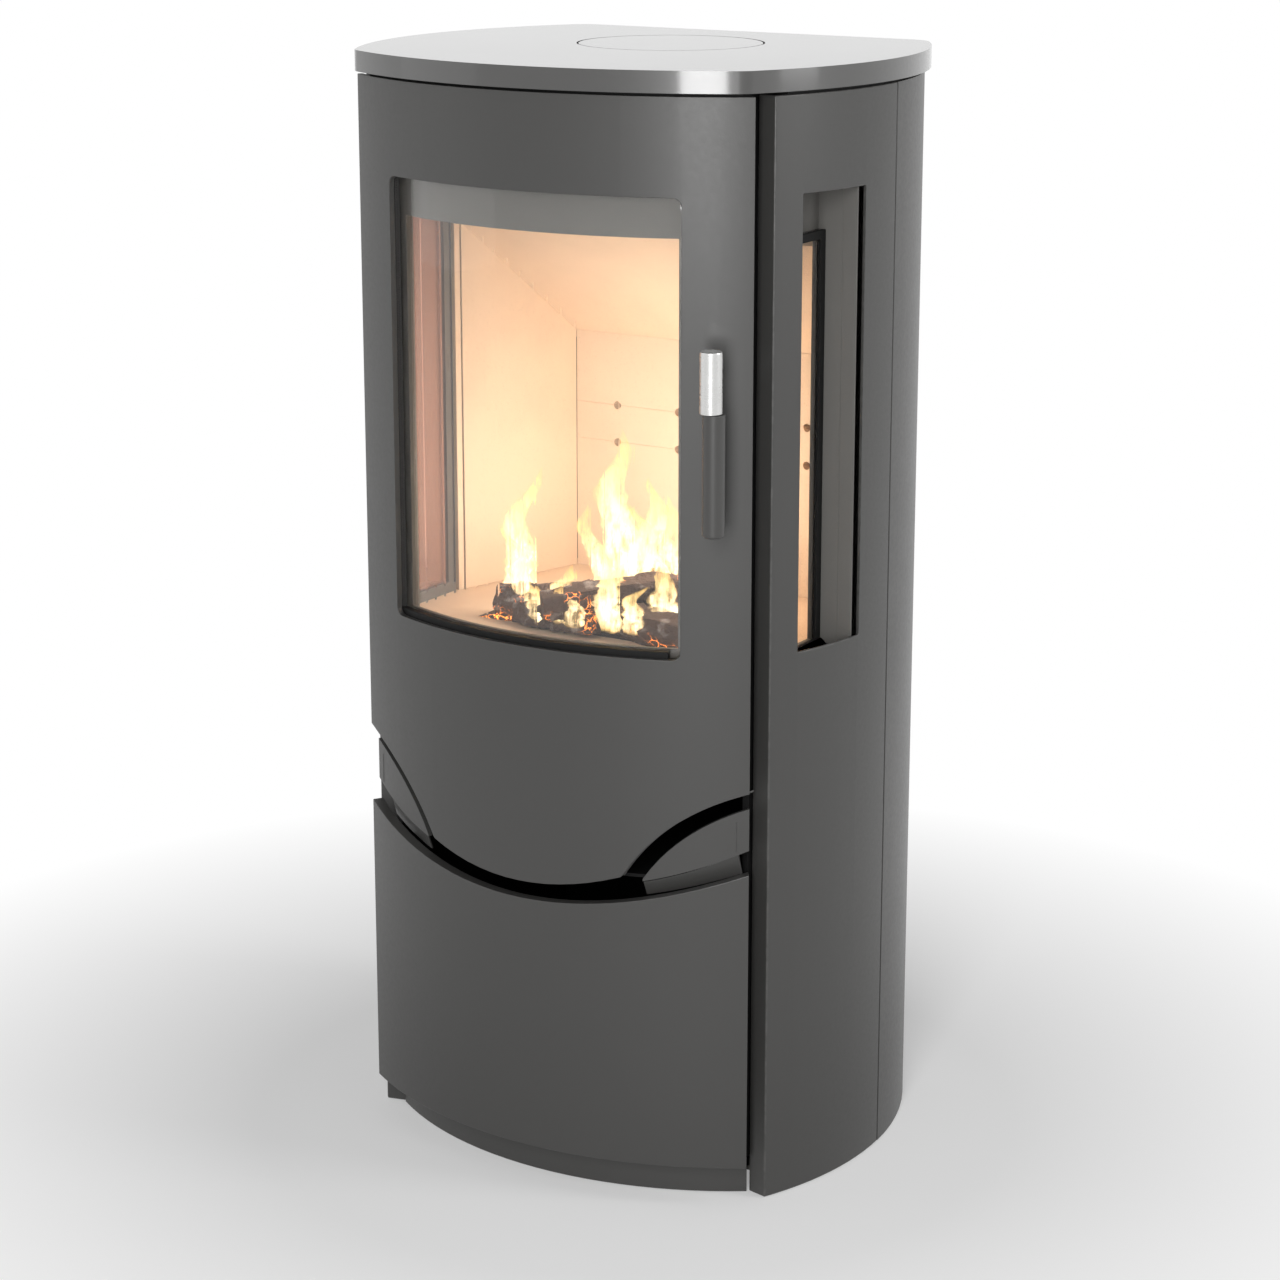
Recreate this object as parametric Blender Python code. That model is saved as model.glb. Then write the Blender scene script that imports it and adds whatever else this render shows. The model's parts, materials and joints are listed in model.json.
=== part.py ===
"""Wood burning stove with a bowed door, side windows and a hinged lower door.

Units are metres, +Z is up and the door faces -Y. The origin is on the floor under the middle
of the stove. In plan the stove is a bowed front arc, two flared side arcs and a flat back.
"""
import math

import bmesh
import bpy
from mathutils import Matrix, Vector

# ---- overall sizes -------------------------------------------------------------------------
HEIGHT = 1.000
FRONT_RADIUS = 0.370
FRONT_REACH = 0.1985
SIDE_RADIUS = 0.3105
HALF_WIDTH = 0.2385
SIDE_CENTRE_Y = 0.0175
BACK_Y = 0.1995
REAR_CORNER = 0.024
FRONT_CORNER = 0.020

# ---- fits ----------------------------------------------------------------------------------
CLEAR = 0.0003
SEAM = 0.0012
FLOOR_GAP = 0.001
OVERCUT = 0.010

# ---- casing --------------------------------------------------------------------------------
SHEET = 0.003
TOP_DEPTH = 0.0185
TOP_WEB = 0.0065
TOP_OVERHANG = 0.0058
TOP_RIM = 0.0105
SHADOW_GAP = 0.003
TOP_FRAME = 0.006
FRAME_SETBACK = 0.003
SIDE_FRONT_ANGLE = -25.8
SIDE_SEAM_ANGLE = 4.5
FLANGE_FALL = 0.0046
BACK_HALF = 0.160
SLOT_COUNT = 11
SLOT_WIDTH = 0.010
SLOT_HEIGHT = 0.050
SLOT_PITCH = 0.024
SLOT_LOW = 0.070
SLOT_DROP = 0.120

# ---- frame ---------------------------------------------------------------------------------
FOOT_HEIGHT = 0.016
FOOT_RADIUS = 0.014
FOOT_X = 0.140
FOOT_FRONT_Y = -0.105
FOOT_REAR_Y = 0.140
FOOT_STEM_RADIUS = 0.0045
FOOT_PAD = 0.004
BASE = 0.004
BASE_HALF_ANGLE = 33.0
PLINTH_RADIUS = 0.334
PLINTH_REACH = 0.1733
PLINTH_HALF = 0.1880
PLINTH_TOP = 0.0345
POST_INNER = 0.1825
POST_WIDTH = 0.006
POST_FRONT = -0.119
POST_BACK = -0.104
CEILING_Z = 0.292
CEILING_RADIUS = 0.335
CEILING_BACK = 0.160

# ---- firebox -------------------------------------------------------------------------------
WALL = 0.004
FIREBOX_LOW = 0.455
FIREBOX_DROP = 0.045
FIREBOX_RADIUS = 0.346
MOUTH_HALF = 0.142
MOUTH_LOW = 0.492
MOUTH_PAST = 0.0095
MOUTH_BACK = -0.120
GLASS_WALL_X = 0.1945
GLASS_WALL_FRONT = -0.0985
GLASS_WALL_BACK = -0.017
WALL_JOG = 0.002
LINER = 0.0245
CORNER_ROOM = 0.006
CHAMBER_FRONT_X = 0.187
CHAMBER_FRONT_Y = -0.0125
CHAMBER_BACK_X = 0.148
CHAMBER_BACK_Y = 0.132
BAFFLE_BACK_DROP = 0.238
BAFFLE_FRONT_DROP = 0.115
BAFFLE = 0.020
BAFFLE_REST = 0.012
HEARTH = 0.025
GRATE_HALF_X = 0.080
GRATE_FRONT = -0.075
GRATE_BACK = 0.065
GRATE = 0.010
GRATE_LEDGE = 0.010
GRATE_SLOTS = 7
GRATE_SLOT = 0.008
AIR_HOLE_RADIUS = 0.004
AIR_HOLES = 4
AIR_HOLE_PITCH = 0.068
PLANK_JOINTS = (0.611, 0.647)
ASH_HALF_X = 0.120
ASH_FRONT = -0.128
ASH_BACK = 0.085
ASH_DEPTH = 0.060
ASH_SHEET = 0.002
ASH_PLAY = 0.004

# ---- flue ----------------------------------------------------------------------------------
FLUE_Y = 0.060
FLUE_BORE = 0.070
FLUE_WALL = 0.0045
FLUE_FLANGE = 0.090
COVER_RADIUS = 0.0830
COVER_GAP = 0.0015
COVER_PLATE = 0.006
COVER_SKIRT = 0.0035

# ---- windows -------------------------------------------------------------------------------
WINDOW_LOW = 0.5015
WINDOW_DROP = 0.1045
WINDOW_HALF = 0.148
WINDOW_CORNER = 0.007
CORNER_SHARES = (0.5, 0.15, 0)
SIDE_WINDOW_FRONT = -20.3
SIDE_WINDOW_BACK = -5.4
SIDE_GLASS_DROP = 0.0455
SIDE_GLASS_LOW = 0.4945
SIDE_GLASS_FRONT = -0.088
SIDE_GLASS_BACK = -0.0245
PANE = 0.004
PANE_LAP = 0.0065
FRAME_LAP = 0.001

# ---- door ----------------------------------------------------------------------------------
DOOR_HALF = 0.201
DOOR_SKIN = 0.005
REVEAL = 0.012
GLASS_LAP = 0.013
GLASS_SIDE_LAP = 0.005
INNER_FRAME = 0.004
INNER_HALF = 0.138
INNER_LOW = 0.508
INNER_DROP = 0.0355
INNER_EDGE = 0.156
INNER_EDGE_LOW = 0.476
INNER_EDGE_RISE = 0.0295
SEAL_WIDTH = 0.008
SEAL_INSET = 0.0015
TONGUE_HALF = 0.0985
TONGUE_LOW = 0.286
TONGUE_RISE = 0.017
TONGUE_CREASE = 0.002
SCALLOP_X = 0.2518
SCALLOP_Z = 0.2150
SCALLOP_RADIUS = 0.176
TRIM_HEIGHT = 0.0065
TRIM_END = 0.136

# ---- petals and lower door -----------------------------------------------------------------
PETAL_RECESS = 0.007
PETAL_SHEET = 0.004
PETAL_GAP = 0.0137
PETAL_TIP_X = 0.113
PETAL_END_X = 0.1975
PETAL_TIP_Z = 0.2985
PETAL_END_Z = 0.3300
PETAL_SAG = 0.0027
PETAL_TIP_INSET = 0.001
PETAL_TIP_HEIGHT = 0.0012
PETAL_ARM_INSET = 0.006
LOWER_LOW = 0.0355
LOWER_MIDDLE = 0.2705
LOWER_RISE = 0.0395
LOWER_FLANGE = 0.010
LOWER_FLANGE_SHEET = 0.004
LOWER_FOLD = 0.005

# ---- hinges and latch ----------------------------------------------------------------------
HINGE_ANGLE = 31.6
HINGE_RADIUS = 0.3575
PIN_RADIUS = 0.0025
LUG_RADIUS = 0.005
LUG_HEIGHT = 0.006
BRACKET_HEIGHT = 0.004
BRACKET_WIDTH = 0.003
DOOR_LUG_LOW = 0.4405
DOOR_LUG_DROP = 0.0435
LOWER_LUG_LOW = 0.0700
LOWER_LUG_HIGH = 0.2500
LUG_SPREAD = 1.8
LUG_SWEEP = 80.0
BRACKET_START = 200.0

# ---- handle --------------------------------------------------------------------------------
HANDLE_ANGLE = 27.8
HANDLE_Z = 0.7513
HANDLE_REACH = 0.045
HANDLE_RADIUS = 0.0095
CAP_LENGTH = 0.052
CAP_CHAMFER = 0.0008
GRIP_LENGTH = 0.1037
GRIP_SHIFT = 0.0024
GRIP_ROUND = 0.0025
STEM_RADIUS = 0.004
STEM_COLLAR = 0.0075
STEM_PLAY = 0.0006
COLLAR_STRAIGHT = 0.003
COLLAR_LENGTH = 0.006
HOOK_REACH = 0.014
HOOK_HEIGHT = 0.012
HOOK_DEPTH = 0.004
HOOK_BACK = 0.021
KEEPER_HALF = 0.012
KEEPER_SPAN = 2.6
KEEPER_INSET = 0.4

# ---- air lever -----------------------------------------------------------------------------
LEVER_PIVOT_Y = -0.050
LEVER_REACH = 0.126
LEVER_WIDTH = 0.012
LEVER_SHEET = 0.003
KNOB_RADIUS = 0.005
KNOB_DROP = 0.014
LEVER_PIN_HEAD = 0.005

# ---- materials: colour, roughness, metallic ------------------------------------------------
PAINT = ("stove_paint", (0.118, 0.116, 0.110), 0.45, 0.35)
BLACK = ("black_paint", (0.012, 0.012, 0.012), 0.60, 0.10)
INNER_STEEL = ("inner_steel", (0.060, 0.058, 0.055), 0.55, 0.40)
LINING = ("fire_board", (0.780, 0.640, 0.470), 0.90, 0.00)
CAST = ("cast_iron", (0.050, 0.048, 0.046), 0.65, 0.60)
STAINLESS = ("stainless_steel", (0.780, 0.780, 0.770), 0.25, 1.00)
GALVANISED = ("zinc_steel", (0.420, 0.430, 0.440), 0.45, 0.90)
GLASS = ("stove_glass", (0.800, 0.760, 0.700), 0.05, 0.00)
ROPE = ("seal_rope", (0.090, 0.085, 0.080), 0.95, 0.00)

# ---- mesh steps ----------------------------------------------------------------------------
BOW_STEPS = 24
SMALL_STEPS = 16
NEAR_ANGLE = 0.8

# ---- derived sizes -------------------------------------------------------------------------
FRONT_CENTRE = (0.0, FRONT_RADIUS - FRONT_REACH)
SIDE_CENTRE = (HALF_WIDTH - SIDE_RADIUS, SIDE_CENTRE_Y)
PLINTH_CENTRE = (0.0, PLINTH_RADIUS - PLINTH_REACH)
TOP_UNDER = HEIGHT - TOP_DEPTH
SKIN_TOP = TOP_UNDER - SHADOW_GAP
FRAME_TOP = TOP_UNDER - CLEAR
FRAME_UNDER = FRAME_TOP - TOP_FRAME
FIREBOX_TOP = HEIGHT - FIREBOX_DROP
WINDOW_TOP = HEIGHT - WINDOW_DROP
MOUTH_TOP = WINDOW_TOP + MOUTH_PAST
SIDE_GLASS_TOP = WINDOW_TOP - SIDE_GLASS_DROP
INNER_TOP = WINDOW_TOP - INNER_DROP
INNER_EDGE_TOP = WINDOW_TOP + INNER_EDGE_RISE
SLOT_HIGH = HEIGHT - SLOT_DROP
DOOR_LUG_HIGH = HEIGHT - DOOR_LUG_DROP
BASE_TOP = FOOT_HEIGHT + CLEAR + BASE
GLASS_OUTER = FRONT_RADIUS - REVEAL
GLASS_INNER = GLASS_OUTER - PANE
INNER_OUTER = GLASS_INNER - CLEAR
INNER_INNER = INNER_OUTER - INNER_FRAME
HEARTH_LOW = FIREBOX_LOW + WALL + CLEAR
HEARTH_TOP = HEARTH_LOW + HEARTH
BAFFLE_BACK_Z = FIREBOX_TOP - BAFFLE_BACK_DROP
BAFFLE_FRONT_Z = FIREBOX_TOP - BAFFLE_FRONT_DROP
BAFFLE_SLOPE = (BAFFLE_FRONT_Z - BAFFLE_BACK_Z) / (CHAMBER_BACK_Y - CHAMBER_FRONT_Y)


def clear_scene():
    for item in list(bpy.data.objects):
        bpy.data.objects.remove(item, do_unlink=True)


def material(spec):
    name, colour, roughness, metallic = spec
    found = bpy.data.materials.get(name)
    if found:
        return found
    made = bpy.data.materials.new(name)
    made.use_nodes = True
    shader = made.node_tree.nodes["Principled BSDF"]
    shader.inputs["Base Color"].default_value = (*colour, 1.0)
    shader.inputs["Roughness"].default_value = roughness
    shader.inputs["Metallic"].default_value = metallic
    return made


def add_object(name, mesh_data, spec, matrix=None, smooth=None):
    """Turn a bmesh into a named object with outward faces and one material."""
    bmesh.ops.recalc_face_normals(mesh_data, faces=mesh_data.faces)
    mesh = bpy.data.meshes.new(name)
    mesh_data.to_mesh(mesh)
    mesh_data.free()
    mesh.materials.append(material(spec))
    if smooth is not None:
        mesh.shade_smooth()
        mesh.set_sharp_from_angle(angle=math.radians(smooth))
    made = bpy.data.objects.new(name, mesh)
    bpy.context.scene.collection.objects.link(made)
    if matrix is not None:
        made.matrix_world = matrix
    return made


def arc(centre, radius, start, end, steps):
    """Points on an arc, in degrees counter-clockwise from +X."""
    points = []
    for step in range(steps + 1):
        turn = math.radians(start + (end - start) * step / steps)
        points.append((centre[0] + radius * math.cos(turn), centre[1] + radius * math.sin(turn)))
    return points


def front_point(radius, angle):
    """Point on an arc about the front centre; the angle is from -Y towards +X."""
    turn = math.radians(angle)
    return (FRONT_CENTRE[0] + radius * math.sin(turn), FRONT_CENTRE[1] - radius * math.cos(turn))


def front_angle(half, radius=FRONT_RADIUS):
    return math.degrees(math.asin(half / radius))


def side_angle(y, radius=SIDE_RADIUS):
    return math.degrees(math.asin((y - SIDE_CENTRE[1]) / radius))


def circle_cross(first, first_radius, second, second_radius):
    """Crossing of two circles on the +X side."""
    gap = math.dist(first, second)
    along = (first_radius ** 2 - second_radius ** 2 + gap ** 2) / (2 * gap)
    rise = math.sqrt(first_radius ** 2 - along ** 2)
    step = ((second[0] - first[0]) / gap, (second[1] - first[1]) / gap)
    foot = (first[0] + step[0] * along, first[1] + step[1] * along)
    options = ((foot[0] - step[1] * rise, foot[1] + step[0] * rise),
               (foot[0] + step[1] * rise, foot[1] - step[0] * rise))
    return max(options)


def heading(origin, target):
    return math.degrees(math.atan2(target[1] - origin[1], target[0] - origin[0]))


def rear_corner_centre(offset):
    radius = SIDE_RADIUS - REAR_CORNER
    y = BACK_Y - REAR_CORNER
    x = SIDE_CENTRE[0] + math.sqrt(radius ** 2 - (y - SIDE_CENTRE[1]) ** 2)
    return (x, y), REAR_CORNER + offset


def outline(offset, front_steps=14):
    """Closed plan outline of the stove, grown by an offset."""
    corner = circle_cross(FRONT_CENTRE, FRONT_RADIUS - FRONT_CORNER,
                          SIDE_CENTRE, SIDE_RADIUS - FRONT_CORNER)
    rear, rear_radius = rear_corner_centre(offset)
    first = heading(FRONT_CENTRE, corner)
    second = heading(SIDE_CENTRE, corner)
    third = heading(SIDE_CENTRE, rear)
    half = arc(FRONT_CENTRE, FRONT_RADIUS + offset, -90, first, front_steps)
    half += arc(corner, FRONT_CORNER + offset, first, second, 3)[1:]
    half += arc(SIDE_CENTRE, SIDE_RADIUS + offset, second, third, front_steps)[1:]
    half += arc(rear, rear_radius, third, 90, 5)[1:]
    return half + mirrored(half)[:-1]


def mirrored(points):
    return [(-x, y) for x, y in reversed(points)]


def offset_path(points, distance):
    """Shift an open path to its left, with mitred corners."""
    result = []
    for index, point in enumerate(points):
        normals = []
        for first, second in ((index - 1, index), (index, index + 1)):
            if first < 0 or second >= len(points):
                continue
            along = Vector(points[second]) - Vector(points[first])
            along.normalize()
            normals.append(Vector((-along.y, along.x)))
        if len(normals) == 1:
            normals.append(normals[0])
        mitre = (normals[0] + normals[1]) / (1 + normals[0].dot(normals[1]))
        result.append((point[0] + mitre.x * distance, point[1] + mitre.y * distance))
    return result


def flip(points, side):
    return [(x * side, y) for x, y in points]


def slab(name, outer, inner, spec, keep=None, smooth=None):
    """Closed sheet between two grids of points; keep(column, row) says which cells are solid."""
    columns = len(outer) - 1
    rows = len(outer[0]) - 1

    def solid(column, row):
        if not (0 <= column < columns and 0 <= row < rows):
            return False
        return keep is None or keep(column, row)

    work = bmesh.new()
    cache = {}

    def vertex(layer, column, row):
        key = (layer, column, row)
        if key not in cache:
            cache[key] = work.verts.new((outer, inner)[layer][column][row])
        return cache[key]

    for column in range(columns):
        for row in range(rows):
            if not solid(column, row):
                continue
            ring = ((column, row), (column + 1, row), (column + 1, row + 1), (column, row + 1))
            beside = ((column, row - 1), (column + 1, row), (column, row + 1), (column - 1, row))
            work.faces.new([vertex(0, *spot) for spot in ring])
            work.faces.new([vertex(1, *spot) for spot in reversed(ring)])
            for index, neighbour in enumerate(beside):
                if not solid(*neighbour):
                    start, end = ring[index], ring[(index + 1) % 4]
                    work.faces.new((vertex(0, *end), vertex(0, *start),
                                    vertex(1, *start), vertex(1, *end)))
    return add_object(name, work, spec, smooth=smooth)


def grid(points, levels):
    """Grid columns over plan points; levels is one list of heights or one list per column."""
    each = levels if isinstance(levels[0], (list, tuple)) else [levels] * len(points)
    return [[(x, y, z) for z in heights] for (x, y), heights in zip(points, each)]


def bowed(name, angles, outer_radius, inner_radius, levels, spec, keep=None):
    """Sheet that follows the bowed front."""
    outer = grid([front_point(outer_radius, angle) for angle in angles], levels)
    inner = grid([front_point(inner_radius, angle) for angle in angles], levels)
    return slab(name, outer, inner, spec, keep, smooth=30)


def plate(name, loops, low, high, spec, matrix=None, smooth=None):
    """Flat plate from an outer loop and hole loops."""
    work = bmesh.new()
    edges = []
    for loop in loops:
        ring = [work.verts.new((x, y, low)) for x, y in loop]
        for index, start in enumerate(ring):
            edges.append(work.edges.new((start, ring[(index + 1) % len(ring)])))
    filled = bmesh.ops.triangle_fill(work, use_beauty=True, use_dissolve=False, edges=edges)
    faces = [item for item in filled["geom"] if isinstance(item, bmesh.types.BMFace)]
    raised = bmesh.ops.extrude_face_region(work, geom=faces)
    lifted = [item for item in raised["geom"] if isinstance(item, bmesh.types.BMVert)]
    bmesh.ops.translate(work, verts=lifted, vec=(0, 0, high - low))
    return add_object(name, work, spec, matrix, smooth)


def turned(name, profile, spec, matrix=None, steps=24):
    """Closed body turned about Z from a closed profile of (radius, height) points."""
    work = bmesh.new()
    rings = []
    for radius, height in profile:
        if radius == 0:
            rings.append([work.verts.new((0, 0, height))])
            continue
        ring = []
        for step in range(steps):
            turn = 2 * math.pi * step / steps
            ring.append(work.verts.new((radius * math.cos(turn), radius * math.sin(turn), height)))
        rings.append(ring)
    closed = profile[0][0] > 0
    last = len(rings) if closed else len(rings) - 1
    for index in range(last):
        upper, lower = rings[index], rings[(index + 1) % len(rings)]
        for step in range(steps):
            after = (step + 1) % steps
            corners = [upper[step % len(upper)], upper[after % len(upper)],
                       lower[after % len(lower)], lower[step % len(lower)]]
            unique = list(dict.fromkeys(corners))
            work.faces.new(unique)
    return add_object(name, work, spec, matrix, smooth=35)


def box(name, low, high, spec):
    loop = rectangle(low[0], high[0], low[1], high[1])
    return plate(name, [loop], low[2], high[2], spec)


def rectangle(left, right, front, back):
    return [(left, front), (right, front), (right, back), (left, back)]


def circle(centre, radius, steps=24):
    return arc(centre, radius, 0, 360, steps)[:-1]


def boolean(target, cutter, operation="DIFFERENCE"):
    """Cut or join with a hidden helper body."""
    cutter.hide_render = True
    cutter.display_type = "WIRE"
    step = target.modifiers.new(cutter.name, "BOOLEAN")
    step.operation = operation
    step.solver = "EXACT"
    step.object = cutter


def spaced(start, end, steps):
    return [start + (end - start) * step / steps for step in range(steps + 1)]


# ---- frame and casing ----------------------------------------------------------------------

def build_base():
    front = arc(PLINTH_CENTRE, PLINTH_RADIUS - SHEET - CLEAR, -90, BASE_HALF_ANGLE - 90, 8)
    inner_radius = SIDE_RADIUS - SHEET - CLEAR
    rear, rear_radius = rear_corner_centre(-SHEET - CLEAR)
    third = heading(SIDE_CENTRE, rear)
    side = arc(SIDE_CENTRE, inner_radius, side_angle(POST_BACK), third, 10)
    half = front + [(front[-1][0], POST_BACK)] + side + arc(rear, rear_radius, third, 90, 4)[1:]
    plate("base_plate", [half + mirrored(half)[:-1]], BASE_TOP - BASE, BASE_TOP, INNER_STEEL)

    angle = math.degrees(math.asin(PLINTH_HALF / PLINTH_RADIUS))
    levels = [FLOOR_GAP, PLINTH_TOP]
    outer = grid(arc(PLINTH_CENTRE, PLINTH_RADIUS, -90 - angle, -90 + angle, BOW_STEPS), levels)
    inner = grid(arc(PLINTH_CENTRE, PLINTH_RADIUS - SHEET, -90 - angle, -90 + angle, BOW_STEPS), levels)
    slab("plinth", outer, inner, PAINT, smooth=30)

    stem = FOOT_STEM_RADIUS
    profile = [(0, FOOT_HEIGHT), (stem, FOOT_HEIGHT), (stem, 2 * FOOT_PAD),
               (FOOT_RADIUS, FOOT_PAD), (FOOT_RADIUS, 0), (0, 0)]
    for row, y in (("front", FOOT_FRONT_Y), ("rear", FOOT_REAR_Y)):
        for side, x in (("left", -FOOT_X), ("right", FOOT_X)):
            turned(f"levelling_foot_{row}_{side}", profile, GALVANISED,
                   Matrix.Translation((x, y, 0)), steps=SMALL_STEPS)


def build_posts():
    for side, sign in (("left", -1), ("right", 1)):
        loop = rectangle(POST_INNER, POST_INNER + POST_WIDTH, POST_FRONT, POST_BACK)
        plate(f"front_post_{side}", [flip(loop, sign)], PLINTH_TOP + CLEAR, FRAME_UNDER - CLEAR, BLACK)


def build_side_panels():
    start = arc(SIDE_CENTRE, SIDE_RADIUS, SIDE_FRONT_ANGLE, SIDE_FRONT_ANGLE, 1)[0]
    inner_end = POST_INNER + POST_WIDTH + CLEAR
    angles = [value for value in spaced(SIDE_FRONT_ANGLE, SIDE_SEAM_ANGLE, 12)
              if min(abs(value - SIDE_WINDOW_FRONT), abs(value - SIDE_WINDOW_BACK)) > NEAR_ANGLE]
    angles = sorted(angles + [SIDE_WINDOW_FRONT, SIDE_WINDOW_BACK])
    path = [(inner_end, start[1] + FLANGE_FALL)]
    path += [arc(SIDE_CENTRE, SIDE_RADIUS, angle, angle, 1)[0] for angle in angles]
    back_path = offset_path(path, SHEET)
    first = angles.index(SIDE_WINDOW_FRONT) + 1
    last = angles.index(SIDE_WINDOW_BACK) + 1
    levels = [FLOOR_GAP, WINDOW_LOW, WINDOW_TOP, SKIN_TOP]

    def keep(column, row):
        return row != 1 or not first <= column < last

    for side, sign in (("left", -1), ("right", 1)):
        slab(f"side_panel_{side}", grid(flip(path, sign), levels),
             grid(flip(back_path, sign), levels), PAINT, keep, smooth=30)


def build_rear_corners():
    seam = math.degrees(SEAM / SIDE_RADIUS)
    start = SIDE_SEAM_ANGLE + seam
    rear, rear_radius = rear_corner_centre(0)
    third = heading(SIDE_CENTRE, rear)
    path = arc(SIDE_CENTRE, SIDE_RADIUS, start, third, 8)
    path += arc(rear, rear_radius, third, 90, 6)[1:]
    path.append((BACK_HALF, BACK_Y))
    back_path = offset_path(path, SHEET)
    levels = [FLOOR_GAP, SKIN_TOP]
    for side, sign in (("left", -1), ("right", 1)):
        slab(f"rear_corner_{side}", grid(flip(path, sign), levels),
             grid(flip(back_path, sign), levels), PAINT, smooth=30)


def build_back_panel():
    edge = BACK_HALF - CLEAR
    xs = [-edge]
    for index in range(SLOT_COUNT):
        middle = (index - (SLOT_COUNT - 1) / 2) * SLOT_PITCH
        xs += [middle - SLOT_WIDTH / 2, middle + SLOT_WIDTH / 2]
    xs.append(edge)
    levels = [FLOOR_GAP, SLOT_LOW, SLOT_LOW + SLOT_HEIGHT, SLOT_HIGH, SLOT_HIGH + SLOT_HEIGHT, SKIN_TOP]
    outer = grid([(x, BACK_Y) for x in xs], levels)
    inner = grid([(x, BACK_Y - SHEET) for x in xs], levels)

    def keep(column, row):
        return row % 2 == 0 or column % 2 == 0

    slab("back_panel", outer, inner, PAINT, keep)


def build_top():
    top = plate("top_plate", [outline(TOP_OVERHANG)], TOP_UNDER, HEIGHT, PAINT, smooth=30)
    cavity = plate("cut_top_cavity", [outline(TOP_OVERHANG - TOP_RIM)], TOP_UNDER - OVERCUT,
                   HEIGHT - TOP_WEB, BLACK)
    hole = plate("cut_cover_hole", [circle((0, FLUE_Y), COVER_RADIUS + COVER_GAP, 48)],
                 TOP_UNDER, HEIGHT + OVERCUT, BLACK)
    boolean(top, cavity)
    boolean(top, hole)

    radius = FRONT_RADIUS - DOOR_SKIN - FRAME_SETBACK
    edge = POST_INNER + POST_WIDTH
    last = front_angle(edge, radius)
    half = [front_point(radius, angle) for angle in spaced(0, last, 10)] + [(edge, POST_BACK)]
    rear, rear_radius = rear_corner_centre(-SHEET - CLEAR)
    third = heading(SIDE_CENTRE, rear)
    half += arc(SIDE_CENTRE, SIDE_RADIUS - SHEET - CLEAR, side_angle(POST_BACK), third, 10)
    half += arc(rear, rear_radius, third, 90, 4)[1:]
    hole_loop = circle((0, FLUE_Y), FLUE_BORE + FLUE_WALL + CLEAR, 32)
    plate("top_frame", [half + mirrored(half)[:-1], hole_loop], FRAME_UNDER, FRAME_TOP, BLACK)


# ---- firebox -------------------------------------------------------------------------------

def chamber_normal():
    along = Vector((CHAMBER_BACK_X - CHAMBER_FRONT_X, CHAMBER_BACK_Y - CHAMBER_FRONT_Y)).normalized()
    return Vector((along.y, -along.x))


def firebox_half(inset):
    """Right half of the firebox outline, from the front middle to the back middle."""
    normal = chamber_normal()
    depth = LINER + WALL + CLEAR
    wall_front = Vector((CHAMBER_FRONT_X, CHAMBER_FRONT_Y)) + normal * depth
    along = Vector((-normal.y, normal.x))
    wall_back = Vector((CHAMBER_BACK_X, CHAMBER_BACK_Y)) + normal * depth + along * CORNER_ROOM
    back_y = CHAMBER_BACK_Y + depth + CLEAR
    slope = (wall_back.x - wall_front.x) / (wall_back.y - wall_front.y)
    start_x = wall_front.x + slope * (GLASS_WALL_BACK - wall_front.y)
    edge = POST_INNER - CLEAR
    last = front_angle(edge, FIREBOX_RADIUS)
    path = [front_point(FIREBOX_RADIUS, angle) for angle in spaced(-last, last, BOW_STEPS)]
    path += [(edge, GLASS_WALL_FRONT - WALL_JOG),
             (GLASS_WALL_X, GLASS_WALL_FRONT),
             (GLASS_WALL_X, GLASS_WALL_BACK),
             (start_x, GLASS_WALL_BACK),
             tuple(wall_back),
             (wall_back.x - (back_y - wall_back.y), back_y)]
    left = mirrored(path[BOW_STEPS + 1:])
    whole = path + left
    if inset == 0:
        return whole
    closed = whole[-1:] + whole + whole[:1]
    return offset_path(closed, inset)[1:-1]


def build_firebox():
    shell = plate("firebox_shell", [firebox_half(0)], FIREBOX_LOW, FIREBOX_TOP, INNER_STEEL)
    cavity = plate("cut_firebox_cavity", [firebox_half(WALL)], FIREBOX_LOW + WALL,
                   FIREBOX_TOP - WALL, BLACK)
    mouth = box("cut_mouth", (-MOUTH_HALF, -FRONT_REACH, MOUTH_LOW),
                (MOUTH_HALF, MOUTH_BACK, MOUTH_TOP), BLACK)
    windows = box("cut_side_windows", (-HALF_WIDTH, SIDE_GLASS_FRONT, SIDE_GLASS_LOW),
                  (HALF_WIDTH, SIDE_GLASS_BACK, SIDE_GLASS_TOP), BLACK)
    edge = GRATE_HALF_X - GRATE_LEDGE
    ash_hole = box("cut_ash_hole", (-edge, GRATE_FRONT + GRATE_LEDGE, FIREBOX_LOW - OVERCUT),
                   (edge, GRATE_BACK - GRATE_LEDGE, HEARTH_LOW + OVERCUT), BLACK)
    flue = plate("cut_flue", [circle((0, FLUE_Y), FLUE_BORE, 32)], FIREBOX_TOP - 2 * OVERCUT,
                 FIREBOX_TOP + OVERCUT, BLACK)
    for cutter in (cavity, mouth, windows, ash_hole, flue):
        boolean(shell, cutter)


def build_flue():
    outer = FLUE_BORE + FLUE_WALL
    low = FIREBOX_TOP + CLEAR
    collar = [(FLUE_BORE, FRAME_TOP), (outer, FRAME_TOP), (outer, low + WALL),
              (FLUE_FLANGE, low + WALL), (FLUE_FLANGE, low), (FLUE_BORE, low)]
    turned("flue_collar", collar, CAST, Matrix.Translation((0, FLUE_Y, 0)), steps=32)
    under = HEIGHT - COVER_PLATE
    seat = FRAME_TOP + CLEAR
    cover = [(0, HEIGHT), (COVER_RADIUS, HEIGHT), (COVER_RADIUS, under),
             (FLUE_BORE + COVER_SKIRT, under), (FLUE_BORE + COVER_SKIRT, seat),
             (FLUE_BORE, seat), (FLUE_BORE, under), (0, under)]
    turned("flue_cover", cover, PAINT, Matrix.Translation((0, FLUE_Y, 0)), steps=48)


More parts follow.
